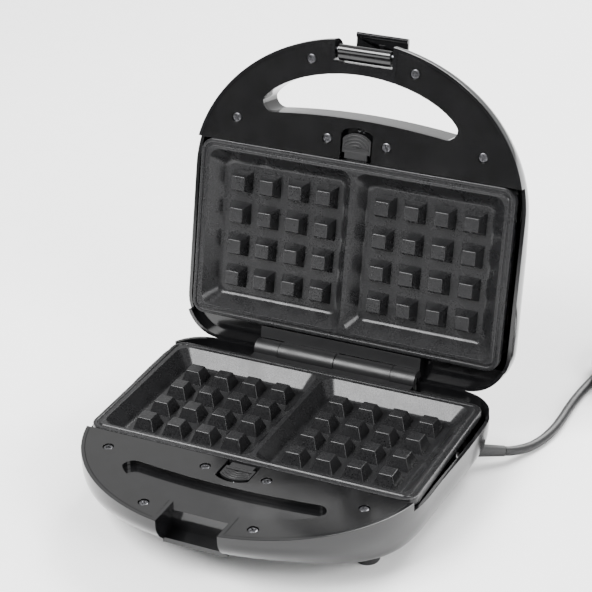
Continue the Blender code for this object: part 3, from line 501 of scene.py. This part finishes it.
def makeTie():
    # flat strap closed round the turns
    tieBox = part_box("cord_tie")
    low, high = [(Vector(corner) - standShift) / mm for corner in tieBox]
    middle = (low + high) / 2
    reach = (high - low) / 2
    corner = tie["corner"]
    edge = reach.x - tie["edge"]
    ease = -tie["ease"]
    thick = tie["thick"]
    rings = []
    hollow = []
    for x, grow in ((-reach.x, ease), (-edge, 0.0), (edge, 0.0), (reach.x, ease)):
        ring = []
        inner = []
        for sideY, sideZ, first in ((1, 1, 0), (-1, 1, 90), (-1, -1, 180), (1, -1, 270)):
            for i in range(7):
                angle = math.radians(first + 15 * i)
                y = sideY * (reach.y - corner) + (corner + grow) * math.cos(angle)
                z = sideZ * (reach.z - corner) + (corner + grow) * math.sin(angle)
                ring.append((middle.x + x, middle.y + y, middle.z + z))
                within = (y * (1 - thick / reach.y), z * (1 - thick / reach.z))
                inner.append((middle.x + 4 * x, middle.y + within[0], middle.z + within[1]))
        rings.append(ring)
        hollow.append(inner)
    piece = skin(rings, "lead_strap")
    combine(piece, skin(hollow))
    return settle(piece, baseTurn, "base", finishes["mouldedPvc"], ["cord_tie"], 40)


leadPiece, leadPath, leadLength = makeLead()
reliefPiece = makeRelief()
plugPiece = makePlug()
tiePiece = makeTie()
print("mains lead done")


# Housings

shell = {"frontY": -40.0, "reach": 102.0, "corner": 28.0, "wall": 2.4, "upright": 0.25}
shell.update({"rounding": 14.0, "rim": 0.8, "sideRim": 6.4, "rearRim": 2.2, "plateEnd": 61.9})
outside = {"side": 130, "front": -160, "rear": 90, "deep": 60, "above": -10}  # where a cutting tool ends
halfWidth = {base: 115.5, lid: 118.3}
rearWidth = {base: 117.8, lid: 118.3}
rearEdge = {base: 77.5, lid: 78.5}
depths = {
    base: ((-142.0, 17.0), (-120.0, 23.0), (-95.0, 32.0), (-70.0, 37.5), (-50.0, 38.0), (77.0, 38.0)),
    lid: ((-142.0, 17.0), (-110.0, 21.0), (-75.0, 24.0), (-50.0, 28.0), (-20.0, 37.0), (77.0, 39.0))}
grip = {"x": 61.6, "y": -93.2, "end": 7.3, "reach": 25.8, "rearY": -89.7, "taper": 1.4, "dish": 5.0}
notch = {"half": 20.5, "wall": 2.7, "y": {base: -120.0, lid: -125.5}, "runOut": (-122, -116.5)}
notch.update({"wallEnd": {base: -117.3, lid: -117.0}, "rib": ((-130.6, -119.0), (18.5, 21.8))})
notch["relief"] = -123.4
inside = {"seat": 3.6, "shelf": ((-13, 13), (-89, -63), (7.5, 10))}
inside.update({"springSeat": ((-4, 4), (-88.6, -83.8), (3.7, 8.5)), "deckY": 62.1, "deck": (9, 12.5)})
inside.update({"blockY": 62.3, "blockTop": {base: 2.7, lid: 0.6}, "blockDeep": 11})
inside.update({"boss": 3.6, "bore": 1.9})
knuckles = {base: ((-58.5, -41.3), (0.3, 41.0)), lid: ((-41.0, -0.3), (41.3, 58.5))}
screwSpots = ((87.5, -78.5), (36.5, -125.2), (21.0, -74.5))


def depthAt(side, y):
    pairs = depths[side]
    for (y0, d0), (y1, d1) in zip(pairs, pairs[1:]):
        if y <= y1:
            return d0 + (d1 - d0) * max(0.0, y - y0) / (y1 - y0)
    return pairs[-1][1]


def softDepth(side, y):  # the same profile with its corners eased
    offsets = (-9, -6, -3, 0, 3, 6, 9)
    return sum(depthAt(side, y + offset) for offset in offsets) / len(offsets)


def arc(centre, radius, start, end, steps):
    points = []
    for i in range(steps + 1):
        angle = math.radians(start + (end - start) * i / steps)
        points.append((centre[0] + radius * math.cos(angle), centre[1] + radius * math.sin(angle)))
    return points


def rightOutline(side, inset):
    # from the middle of the handle round to the hinge
    wide = halfWidth[side] - inset
    reach = shell["reach"] - inset
    points = [(0.0, shell["frontY"] - reach)]
    for i in range(1, 37):
        angle = math.radians(-90 + 2.5 * i)
        points.append((wide * math.cos(angle), shell["frontY"] + reach * math.sin(angle)))
    for y in (-28.0, -14.0, 0.0, 14.0, 28.0, 40.0):
        points.append((wide + (rearWidth[side] - halfWidth[side]) * smoothStep((y + 40) / 68), y))
    corner = (rearWidth[side] - shell["corner"], rearEdge[side] - shell["corner"])
    points += arc(corner, shell["corner"] - inset, 0, 90, 14)
    for x in (70.0, 50.0, 30.0, 10.0):
        points.append((x, rearEdge[side] - inset))
    return points


def tub(side, inset, thinner, top, name="tool"):
    turnIn = shell["rounding"] - inset
    levels = [(inset, None, 0.0)]
    if inset == 0.0:
        levels = [(0.5, None, 0.0), (0.15, None, 0.15), (0.0, None, 0.5)]
    for degrees in (0, 12, 24, 36, 48, 60, 70, 80, 90):
        angle = math.radians(degrees)
        curved = (1 - shell["upright"]) * math.sin(angle)
        levels.append((inset + turnIn * (1 - math.cos(angle)), curved, 0.0))
    rings = []
    for levelInset, curved, drop in levels:
        ring = []
        for x, y in rightOutline(side, levelInset):
            full = softDepth(side, y) - thinner
            depth = top + drop if curved is None else full * (shell["upright"] + curved)
            ring.append((x, y, side * depth))
        rings.append(ring + [(-x, y, z) for x, y, z in reversed(ring[1:])])
    outline = rings[-1]
    middleY = -20.0
    for share in (0.92, 0.8, 0.64, 0.46, 0.28, 0.12):
        ring = []
        for x, y, z in outline:
            newY = middleY + (y - middleY) * share
            ring.append((x * share, newY, side * (softDepth(side, newY) - thinner)))
        rings.append(ring)
    return skin(rings, name)


def lensOutline(grow):
    # shallow behind, long and drawn out in front, tight at both ends
    end = arc((grip["x"], grip["y"]), grip["end"] + grow, 90, 0, 12)
    half = grip["x"] + grip["end"] + grow
    front = []
    for degrees in (4, 9, 15, 22, 30, 38, 46, 54, 62, 70, 78, 85, 90):
        angle = math.radians(degrees)
        drop = (grip["reach"] + grow) * math.sin(angle) ** grip["taper"]
        front.append((half * math.cos(angle), grip["y"] - drop))
    rise = grip["y"] + grip["end"] - grip["rearY"]
    rear = []
    for x in (0.0, 8.0, 16.0, 24.0, 32.0, 40.0, 48.0, 55.0):
        rear.append((x, grip["rearY"] + grow + rise * (x / grip["x"]) ** 2))
    right = rear + end + front[:-1] + [(0.0, front[-1][1])]
    return right + [(-x, y) for x, y in reversed(right[1:-1])]


def lensTool(side, grow, depth):
    return skin([[(x, y, side * d) for x, y in lensOutline(grow)] for d in depth])


def barrelRods(ranges, radius, grow=0.0):
    rods = []
    for start, end in ranges:
        ends = ((start - grow, hinge["y"], hinge["z"]), (end + grow, hinge["y"], hinge["z"]))
        rods.append(rod(*ends, radius))
    return group(rods)


def mirrored(spots):
    return [(sign * x, y) for x, y in spots for sign in (-1, 1)]


def columns(side, spots, depth, radius, sides=32):
    return group([rod((x, y, side * depth[0]), (x, y, side * depth[1]), radius, None, sides)
                  for x, y in spots])


def makeHousing(side):
    name = halves[side] + "_shell"
    piece = tub(side, 0.0, 0.0, shell["rim"], name)
    hollow = tub(side, shell["wall"], shell["wall"], -5.0)
    deep = outside["deep"]
    above = outside["above"]
    sides = (-outside["side"], outside["side"])
    wallX = (-notch["half"] - notch["wall"], notch["half"] + notch["wall"])
    wallY = (outside["front"], notch["wallEnd"][side])
    combine(hollow, deepBlock(side, wallX, wallY, (shell["rim"], deep)))
    lensDepth = grip["dish"] + shell["wall"] if side == base else deep
    combine(hollow, lensTool(side, shell["wall"], (inside["seat"], lensDepth)))
    combine(hollow, deepBlock(side, *inside["shelf"]))
    combine(hollow, deepBlock(side, *inside["springSeat"]))
    combine(hollow, deepBlock(side, sides, (inside["deckY"], outside["rear"]), inside["deck"]))
    blockX = (-hinge["half"], hinge["half"])
    blockTop = inside["blockTop"][side]
    blockDepth = (blockTop, inside["blockDeep"])
    combine(hollow, deepBlock(side, blockX, (inside["blockY"], outside["rear"]), blockDepth))
    combine(hollow, columns(side, mirrored(screwSpots), (inside["seat"], deep), inside["boss"]))
    combine(piece, hollow)

    notchX = (-notch["half"], notch["half"])
    combine(piece, deepBlock(side, notchX, (outside["front"], notch["y"][side]), (above, deep)))
    openDepth = grip["dish"] if side == base else deep
    combine(piece, lensTool(side, 0.0, (above, openDepth)))
    if side == base:
        combine(piece, deepBlock(side, notchX, notch["runOut"], (above, grip["dish"])))
        ribX = (-notch["half"] - 1, notch["half"] + 1)
        combine(piece, deepBlock(side, ribX, *notch["rib"]), "UNION")
    else:
        combine(piece, deepBlock(side, notchX, (outside["front"], notch["relief"]), (5, deep)))
        pivot = latch["pivot"]
        combine(piece, rod((-30, *pivot), (30, *pivot), latch["bore"]))
        for x in (-lampSeat["x"], lampSeat["x"]):
            combine(piece, rod((x, lampSeat["y"], 28), (x, lampSeat["y"], 50), lampSeat["hole"]))
    combine(piece, deepBlock(side, sides, (-shell["plateEnd"], 62), (above, shell["sideRim"])))
    for sign in (-1, 1):
        x = sorted((sign * (hinge["half"] + 0.1), sign * outside["side"]))
        combine(piece, deepBlock(side, x, (61, outside["rear"]), (above, shell["rearRim"])))
    combine(piece, deepBlock(side, (-59, 59), (61, outside["rear"]), (2 * above, blockTop)))
    combine(piece, barrelRods(knuckles[-side], hinge["room"], 0.3))
    combine(piece, columns(side, mirrored(screwSpots), (-1, 12.5), inside["bore"]))
    if side == base:
        exit = Vector(lead["exit"])
        along = Vector(lead["direction"]).normalized()
        combine(piece, rod(exit - 20 * along, exit + 20 * along, 4.9))
        combine(piece, rod(exit - 12 * along, exit - 5 * along, 7.1))
    soften(piece, 0.45, 2, 38)
    settle(piece, turns[side], bodies[side], finishes["polishedPolypropylene"],
           [halves[side] + "_housing"])
    print(name, "done")


def makeKnuckles(side):
    # hinge block and barrels of one half, as a moulded nylon insert
    half = hinge["half"] - 0.1
    blockDepth = (inside["blockTop"][side] - 0.1, 10.8)
    piece = deepBlock(side, (-half, half), (62.5, 76.7), blockDepth, halves[side] + "_knuckles")
    combine(piece, barrelRods(knuckles[side], hinge["radius"]), "UNION")
    combine(piece, barrelRods(knuckles[-side], hinge["room"], 0.3))
    combine(piece, rod((-70, hinge["y"], hinge["z"]), (70, hinge["y"], hinge["z"]), hinge["bore"]))
    soften(piece, 0.5, 2, 38)
    settle(piece, turns[side], bodies[side], finishes["texturedNylon"], ())


# Handle covers with their screws

cover = {"frontGap": 2.7, "rearY": -61.9, "thick": 2.4, "slotHalf": 11.3, "slotFront": -84.5}
cover.update({"headRadius": 3.6, "headDepth": 1.6, "shank": 1.9})
screw = {"radius": 3.05, "low": 2.1, "high": 1.1, "shank": 1.5, "end": 11.5, "cross": 2.1, "crossWide": 0.8}


def archTool(front):  # an upright round whose front edge reaches the given y
    return rod((0, catch["archY"], -20), (0, catch["archY"], 20), catch["archY"] - front, None, 96)


def makeCover(side):
    name = halves[side] + "_cover"
    outline = [p for p in rightOutline(side, cover["frontGap"]) if p[1] < cover["rearY"] - 1.5]
    rise = (cover["rearY"] - shell["frontY"]) / (shell["reach"] - cover["frontGap"])
    outline.append(((halfWidth[side] - cover["frontGap"]) * math.sqrt(1 - rise ** 2), cover["rearY"]))
    outline += [(-x, y) for x, y in reversed(outline[1:])]
    depth = (shell["rim"], shell["rim"] + cover["thick"])
    piece = skin([[(x, y, side * d) for x, y in outline] for d in depth], name)
    combine(piece, lensTool(side, 0.0, (-5.0, 10.0)))
    half = notch["half"] + notch["wall"] + 0.3
    combine(piece, deepBlock(side, (-half, half), (-150, -112), (-5, 10)))
    slotX = (-cover["slotHalf"], cover["slotHalf"])
    slot = deepBlock(side, slotX, (cover["slotFront"], -50), (-5, 10))
    combine(slot, archTool(cover["slotFront"]), "INTERSECT")
    combine(piece, slot)
    spots = mirrored(screwSpots)
    combine(piece, columns(side, spots, (-2, shell["rim"] + cover["headDepth"]), cover["headRadius"]))
    combine(piece, columns(side, spots, (-2, 10), cover["shank"]))
    soften(piece, 0.55, 3, 32)
    settle(piece, turns[side], bodies[side], finishes["polishedPbt"], [halves[side] + "_handle_cover"])
    print(name, "done")


def makeScrewModel():
    # a domed pan head with a cross recess, on a plain shank
    s = screw
    profile = [
        (s["end"], 0.4), (s["end"] - 1.5, s["shank"]), (s["low"], s["shank"]), (s["low"], s["radius"]),
        (s["high"] + 0.55, s["radius"]), (s["high"] + 0.2, s["radius"] * 0.93),
        (s["high"], s["radius"] * 0.72)]
    piece = skin(turnedRings(profile, (0, 0, 0), (0, 0, 1), 32), "screw")
    reach = s["cross"]
    wide = s["crossWide"] / 2
    combine(piece, block((-reach, reach), (-wide, wide), (0, s["high"] + 0.75)))
    combine(piece, block((-wide, wide), (-reach, reach), (0, s["high"] + 0.75)))
    soften(piece, 0.08, 1, 40)
    return piece


def placeScrews(side, model):
    number = 0
    for x, y in screwSpots:
        for sign in (-1, 1):
            number += 1
            name = f"{halves[side]}_screw_{number}"
            piece = twin(model, name, (0, 0, 0))
            turn = Matrix.Rotation(math.radians(37 * number + 20 * side), 4, "Z")
            flip = Matrix.Rotation(math.pi, 4, "X") if side == base else Matrix()
            place = Matrix.Translation(Vector((sign * x, y, 0)) * mm)
            settle(piece, turns[side] @ place @ flip @ turn, bodies[side], finishes["blackenedZinc"],
                   [f"{halves[side]}_cover_screw_{number}"])


# Cooking plates

plate = {"x": 112.2, "y": 61.5, "corner": 9.0, "top": 0.4, "slab": 6.0, "pan": 12.0, "floor": 10.0}
plate.update({"floorX": (8.2, 96.6), "topX": (1.5, 105.7), "floorY": 46.6, "topY": 55.0})
plate.update({"floorCorner": 5.0, "panX": 108.0, "panY": 58.0, "panCorner": 8.0})
stud = {"pitchX": 21.0, "pitchY": 22.2, "base": 15.2, "tip": 9.4, "top": 1.6, "root": 11.5}
stud.update({"columns": (-4, -3, -2, -1, 1, 2, 3, 4), "rows": (-1.5, -0.5, 0.5, 1.5)})


def roundedOutline(x, y, radius, steps=8):
    spots = (
        (x[1], y[1], -1, -1, 0), (x[0], y[1], 1, -1, 90), (x[0], y[0], 1, 1, 180), (x[1], y[0], -1, 1, 270))
    points = []
    for cx, cy, towardX, towardY, start in spots:
        points += arc((cx + towardX * radius, cy + towardY * radius), radius, start, start + 90, steps)
    return points


def plateRing(side, inset, depth):
    radius = max(2.0, plate["corner"] - inset)
    x = plate["x"] - inset
    y = plate["y"] - inset
    return [(px, py, side * depth) for px, py in roundedOutline((-x, x), (-y, y), radius)]


def makePocketTool(side, sign):
    # sloping walls down to a floor with a filleted edge
    rings = []
    levels = ((-1.6, 0.0), (plate["top"], 0.0), (8.7, 0.0), (9.3, 0.35), (9.75, 0.95), (10.0, 1.9))
    for depth, inset in levels:
        share = (plate["floor"] - depth) / (plate["floor"] - plate["top"])
        share = max(0.0, share)
        x0 = plate["floorX"][0] + (plate["topX"][0] - plate["floorX"][0]) * share + inset
        x1 = plate["floorX"][1] + (plate["topX"][1] - plate["floorX"][1]) * share - inset
        y = plate["floorY"] + (plate["topY"] - plate["floorY"]) * share - inset
        outline = roundedOutline((x0, x1), (-y, y), plate["floorCorner"] + 3.0 * min(1.0, share))
        rings.append([(sign * px, py, side * depth) for px, py in outline])
    return skin(rings)


def makeStuds(side):
    spread = (stud["base"] - stud["tip"]) / (plate["floor"] - stud["top"])
    rootSide = stud["base"] + spread * (stud["root"] - plate["floor"])
    bpy.ops.mesh.primitive_cone_add(
        vertices=4, radius1=rootSide / math.sqrt(2) * mm, radius2=stud["tip"] / math.sqrt(2) * mm,
        depth=(stud["root"] - stud["top"]) * mm, rotation=(0, 0, math.radians(45)))
    model = named("stud")
    pick(model)
    bpy.ops.object.transform_apply(location=True, rotation=True, scale=True)
    soften(model, 0.55, 3, 30)
    if side == lid:
        model.rotation_euler.x = math.pi
        pick(model)
        bpy.ops.object.transform_apply(location=True, rotation=True, scale=True)
    middle = side * (stud["root"] + stud["top"]) / 2
    copies = []
    for column in stud["columns"]:
        for row in stud["rows"]:
            place = (column * stud["pitchX"], row * stud["pitchY"], middle)
            copies.append(twin(model, "studCopy", place))
    bpy.data.objects.remove(model, do_unlink=True)
    studs = group(copies)
    pick(studs)
    bpy.ops.object.transform_apply(location=True, rotation=True, scale=True)
    return studs


def makePlate(side):
    name = halves[side] + "_plate"
    relief = (
        (0.6, plate["slab"]), (0.0, plate["slab"] - 0.6), (0.0, 1.1), (0.2, 0.65), (0.7, 0.4), (2.0, 0.4),
        (2.5, 0.65), (2.8, 1.15), (3.9, 1.15), (4.2, 0.6), (4.7, 0.25), (5.9, 0.25), (6.3, plate["top"]))
    piece = skin([plateRing(side, inset, depth) for inset, depth in relief], name)
    pan = [(7.0, 4.0), (7.0, 9.5), (7.6, 11.0), (9.0, 11.8), (11.0, plate["pan"])]
    panRings = []
    for inset, depth in pan:
        x = plate["panX"] - inset
        y = plate["panY"] - inset
        outline = roundedOutline((-x, x), (-y, y), plate["panCorner"])
        panRings.append([(px, py, side * depth) for px, py in outline])
    combine(piece, skin(panRings), "UNION")
    combine(piece, deepBlock(side, (-7, 7), (-66, -60), (3.6, 5.5)), "UNION")
    for sign in (-1, 1):
        combine(piece, makePocketTool(side, sign))
    combine(piece, makeStuds(side), "UNION")
    soften(piece, 0.4, 2, 34)
    settle(piece, turns[side], bodies[side], finishes["sprayedNonstick"], [halves[side] + "_cooking_plate"],
           30)
    print(name, "done")


# Release catches

catch = {"half": 10.0, "front": -80.5, "rear": -67.0, "top": 1.0, "low": 3.2, "archY": -66.0}


def makeCatch(side):
    # thumb pad with an arched front edge, its guide block and the lip over the plate's tongue
    c = catch
    name = halves[side] + "_catch_pad"
    padX = (-c["half"], c["half"])
    piece = deepBlock(side, padX, (c["front"], c["rear"]), (c["top"] + 0.5, c["low"]), name)
    combine(piece, archTool(c["front"]), "INTERSECT")
    combine(piece, deepBlock(side, (-9, 9), (-73, -67.2), (2.5, 7.2)), "UNION")
    combine(piece, deepBlock(side, (-8, 8), (-68, -63.2), (1.2, 3.2)), "UNION")
    soften(piece, 0.4, 2, 40)
    ridges = [deepBlock(side, (-8.6, 8.6), (-70.6, -69.8), (c["top"], 2.0))]
    for reach in (6.4, 8.6, 10.8, 13.0):  # grip ridges that follow the arched edge
        bpy.ops.mesh.primitive_torus_add(
            location=Vector((0, c["archY"], side * (c["top"] + 0.5))) * mm, major_radius=reach * mm,
            minor_radius=0.5 * mm, major_segments=96, minor_segments=12)
        ring = named("ridge")
        pick(ring)
        bpy.ops.object.transform_apply(location=True, rotation=True, scale=True)
        combine(ring, deepBlock(side, (-8.4, 8.4), (c["front"] + 0.6, -71.6), (0, 3)), "INTERSECT")
        ridges.append(ring)
    combine(piece, group(ridges), "UNION")
    settle(piece, turns[side], halves[side] + "_catch", finishes["texturedNylon"],
           [halves[side] + "_plate_catch"], 40)


# Latch

latch = {"pivot": (-133.7, 4.0), "half": 18.3, "barrel": 3.4, "bore": 1.5}


def makeLatch():
    # J-shaped hook about its own pivot, drawn hooked, then folded back with the lid open
    half = latch["half"]
    outer = [
        (1.9, 1.9), (-4.6, 1.9), (-6.4, 1.2), (-7.5, -0.4), (-7.7, -2.5), (-7.7, -26.4), (-7.1, -28.6),
        (-5.2, -29.9), (-2.8, -30.1), (5.2, -30.1), (6.5, -29.5), (7.0, -28.3), (6.9, -27.2), (6.2, -26.6),
        (4.7, -26.6), (3.9, -27.0), (3.5, -27.9), (-3.8, -28.0), (-5.1, -27.4), (-5.6, -26.0),
        (-5.6, -3.6), (-5.1, -1.6), (-3.6, -0.8), (1.9, -0.8)]
    rings = [[(x, y, z) for y, z in outer] for x in (-half, half)]
    piece = skin(rings, "latch_hook")
    combine(piece, rod((-half, 0, 0), (half, 0, 0), latch["barrel"]), "UNION")
    combine(piece, rod((-half - 2, 0, 0), (half + 2, 0, 0), latch["bore"]))
    mark = rod((0, -1.0, -28.6), (0, -1.0, -27.5), 3.0, 2.6, 3)  # small raised triangle inside the hook
    combine(piece, mark, "UNION")
    soften(piece, 0.4, 2, 35)
    place = Matrix.Translation(Vector((0, *latch["pivot"])) * mm)
    turn = lidTurn @ place @ Matrix.Rotation(math.radians(-foldAngle), 4, "X")
    settle(piece, turn, "latch", finishes["polishedPolypropylene"], ["latch"], 35)
    print("latch done")


# Feet and lamps

foot = {"spots": ((-84.0, -66.0), (84.0, -66.0), (-84.0, 60.0), (84.0, 60.0)), "radius": 8.0}


def makeFeet():
    names = ("front_left", "front_right", "rear_left", "rear_right")
    r = foot["radius"]
    top = floorZ + 7.7
    profile = [(floorZ + 1.0, 2.0), (floorZ + 1.0, r - 3.4), (floorZ + 0.2, r - 3.0), (floorZ, r - 2.2),
               (floorZ, r - 1.2), (floorZ + 0.3, r - 0.5), (floorZ + 1.2, r), (floorZ + 5.5, r + 0.3),
               (floorZ + 6.0, r + 0.6), (top, r + 0.6)]
    model = skin(turnedRings(profile, (0, 0, 0), (0, 0, 1), 48), "foot")
    for name, (x, y) in zip(names, foot["spots"]):
        piece = twin(model, "rubber_foot_" + name, (x, y, 0))
        settle(piece, baseTurn, "base", finishes["mouldedRubber"], ["foot_" + name], 40)
    bpy.data.objects.remove(model, do_unlink=True)


lampSeat = {"x": 9.0, "y": 8.0, "hole": 3.35}


def makeLamps():
    surface = depthAt(lid, lampSeat["y"])
    profile = [(surface - 6, 3.0), (surface + 0.1, 3.0), (surface + 0.45, 2.85), (surface + 0.75, 2.4),
               (surface + 0.92, 1.6), (surface + 0.98, 0.5)]
    choices = (("power", -1, "redLens", "red_lens"), ("ready", 1, "greenLens", "green_lens"))
    for name, sign, finish, slotName in choices:
        rings = turnedRings(profile, (sign * lampSeat["x"], lampSeat["y"], 0.0), (0, 0, 1), 32)
        piece = skin(rings, name + "_lamp")
        settle(piece, lidTurn, "lid", finishes[finish], [name + "_light"], 40)


for side in (base, lid):
    makeHousing(side)
    makeKnuckles(side)
    makeCover(side)
    makePlate(side)
    makeCatch(side)
screwModel = makeScrewModel()
for side in (base, lid):
    placeScrews(side, screwModel)
bpy.data.objects.remove(screwModel, do_unlink=True)
makeLatch()
makeFeet()
makeLamps()

# Inner pieces keep their own shape and take a finish

kept = {
    "reflector_tray": "pressedAluminised", "heating_element": "oxidisedSheath",
    "catch_spring": "drawnSpringSteel", "hinge_pin": "blackenedZinc", "latch_pin": "blackenedZinc",
    "thermostat": "mouldedPhenolic", "lid_thermal_cutout": "mouldedPhenolic", "thermal_fuse": "wovenGlass",
    "terminal_block": "naturalNylon", "inner_mains_lead": "extrudedPvc", "cord_clamp": "texturedNylon",
    "plug_blade": "stampedBrass"}
for nodeName, node in frame["nodes"].items():
    for key, finish in kept.items():
        if key in nodeName:
            node.data.materials.clear()
            node.data.materials.append(finishes[finish])
print("carried pieces finished")

# Studio

floor = {"size": 6, "place": (0, 1.5, 0), "grain": 3, "white": (0.92, 0.95)}
bpy.ops.mesh.primitive_plane_add(size=floor["size"], location=floor["place"])
floorPiece = named("floor")
pick(floorPiece)
bpy.ops.object.transform_apply(location=True, rotation=True, scale=True)
paper = bpy.data.materials.new("studioPaper")  # matt white card
paper.use_nodes = True
paperShader = paper.node_tree.nodes["Principled BSDF"]
paperGrain = addNode(paper.node_tree, "ShaderNodeTexNoise", {"Scale": perMetre(floor["grain"])})
paperTone = addNode(paper.node_tree, "ShaderNodeMapRange", {
    "Value": paperGrain.outputs["Fac"], "To Min": floor["white"][0], "To Max": floor["white"][1]})
paper.node_tree.links.new(paperTone.outputs["Result"], paperShader.inputs["Base Color"])
paperShader.inputs["Roughness"].default_value = 0.9
floorPiece.data.materials.append(paper)

studio = bpy.data.worlds.new("studio")
bpy.context.scene.world = studio
studio.use_nodes = True
sky = studio.node_tree
skyWhere = addNode(sky, "ShaderNodeTexCoord").outputs["Generated"]
skyParts = addNode(sky, "ShaderNodeSeparateXYZ", {"Vector": skyWhere})
skyShade = addNode(sky, "ShaderNodeMapRange", {
    "Value": skyParts.outputs["Y"], "From Min": -0.5, "From Max": 0.4, "To Min": 0.25, "To Max": 1.0})
background = sky.nodes["Background"]
sky.links.new(skyShade.outputs["Result"], background.inputs["Color"])
background.inputs["Strength"].default_value = 1.2

lamps = (
    ("keyLamp", (-0.6, -0.95, 1.35), 0.9, 75),
    ("fillLamp", (1.4, -0.6, 0.9), 0.8, 30),
    ("backLamp", (0.2, 1.5, 1.5), 1.2, 90))
for lampName, place, size, power in lamps:
    bpy.ops.object.light_add(type="AREA", location=place)
    lamp = named(lampName)
    lamp.data.shape = "SQUARE"
    lamp.data.size = size
    lamp.data.energy = power
    lamp.rotation_euler = (Vector((0, 0, 0.1)) - Vector(place)).to_track_quat("-Z", "Y").to_euler()
print("studio lit")
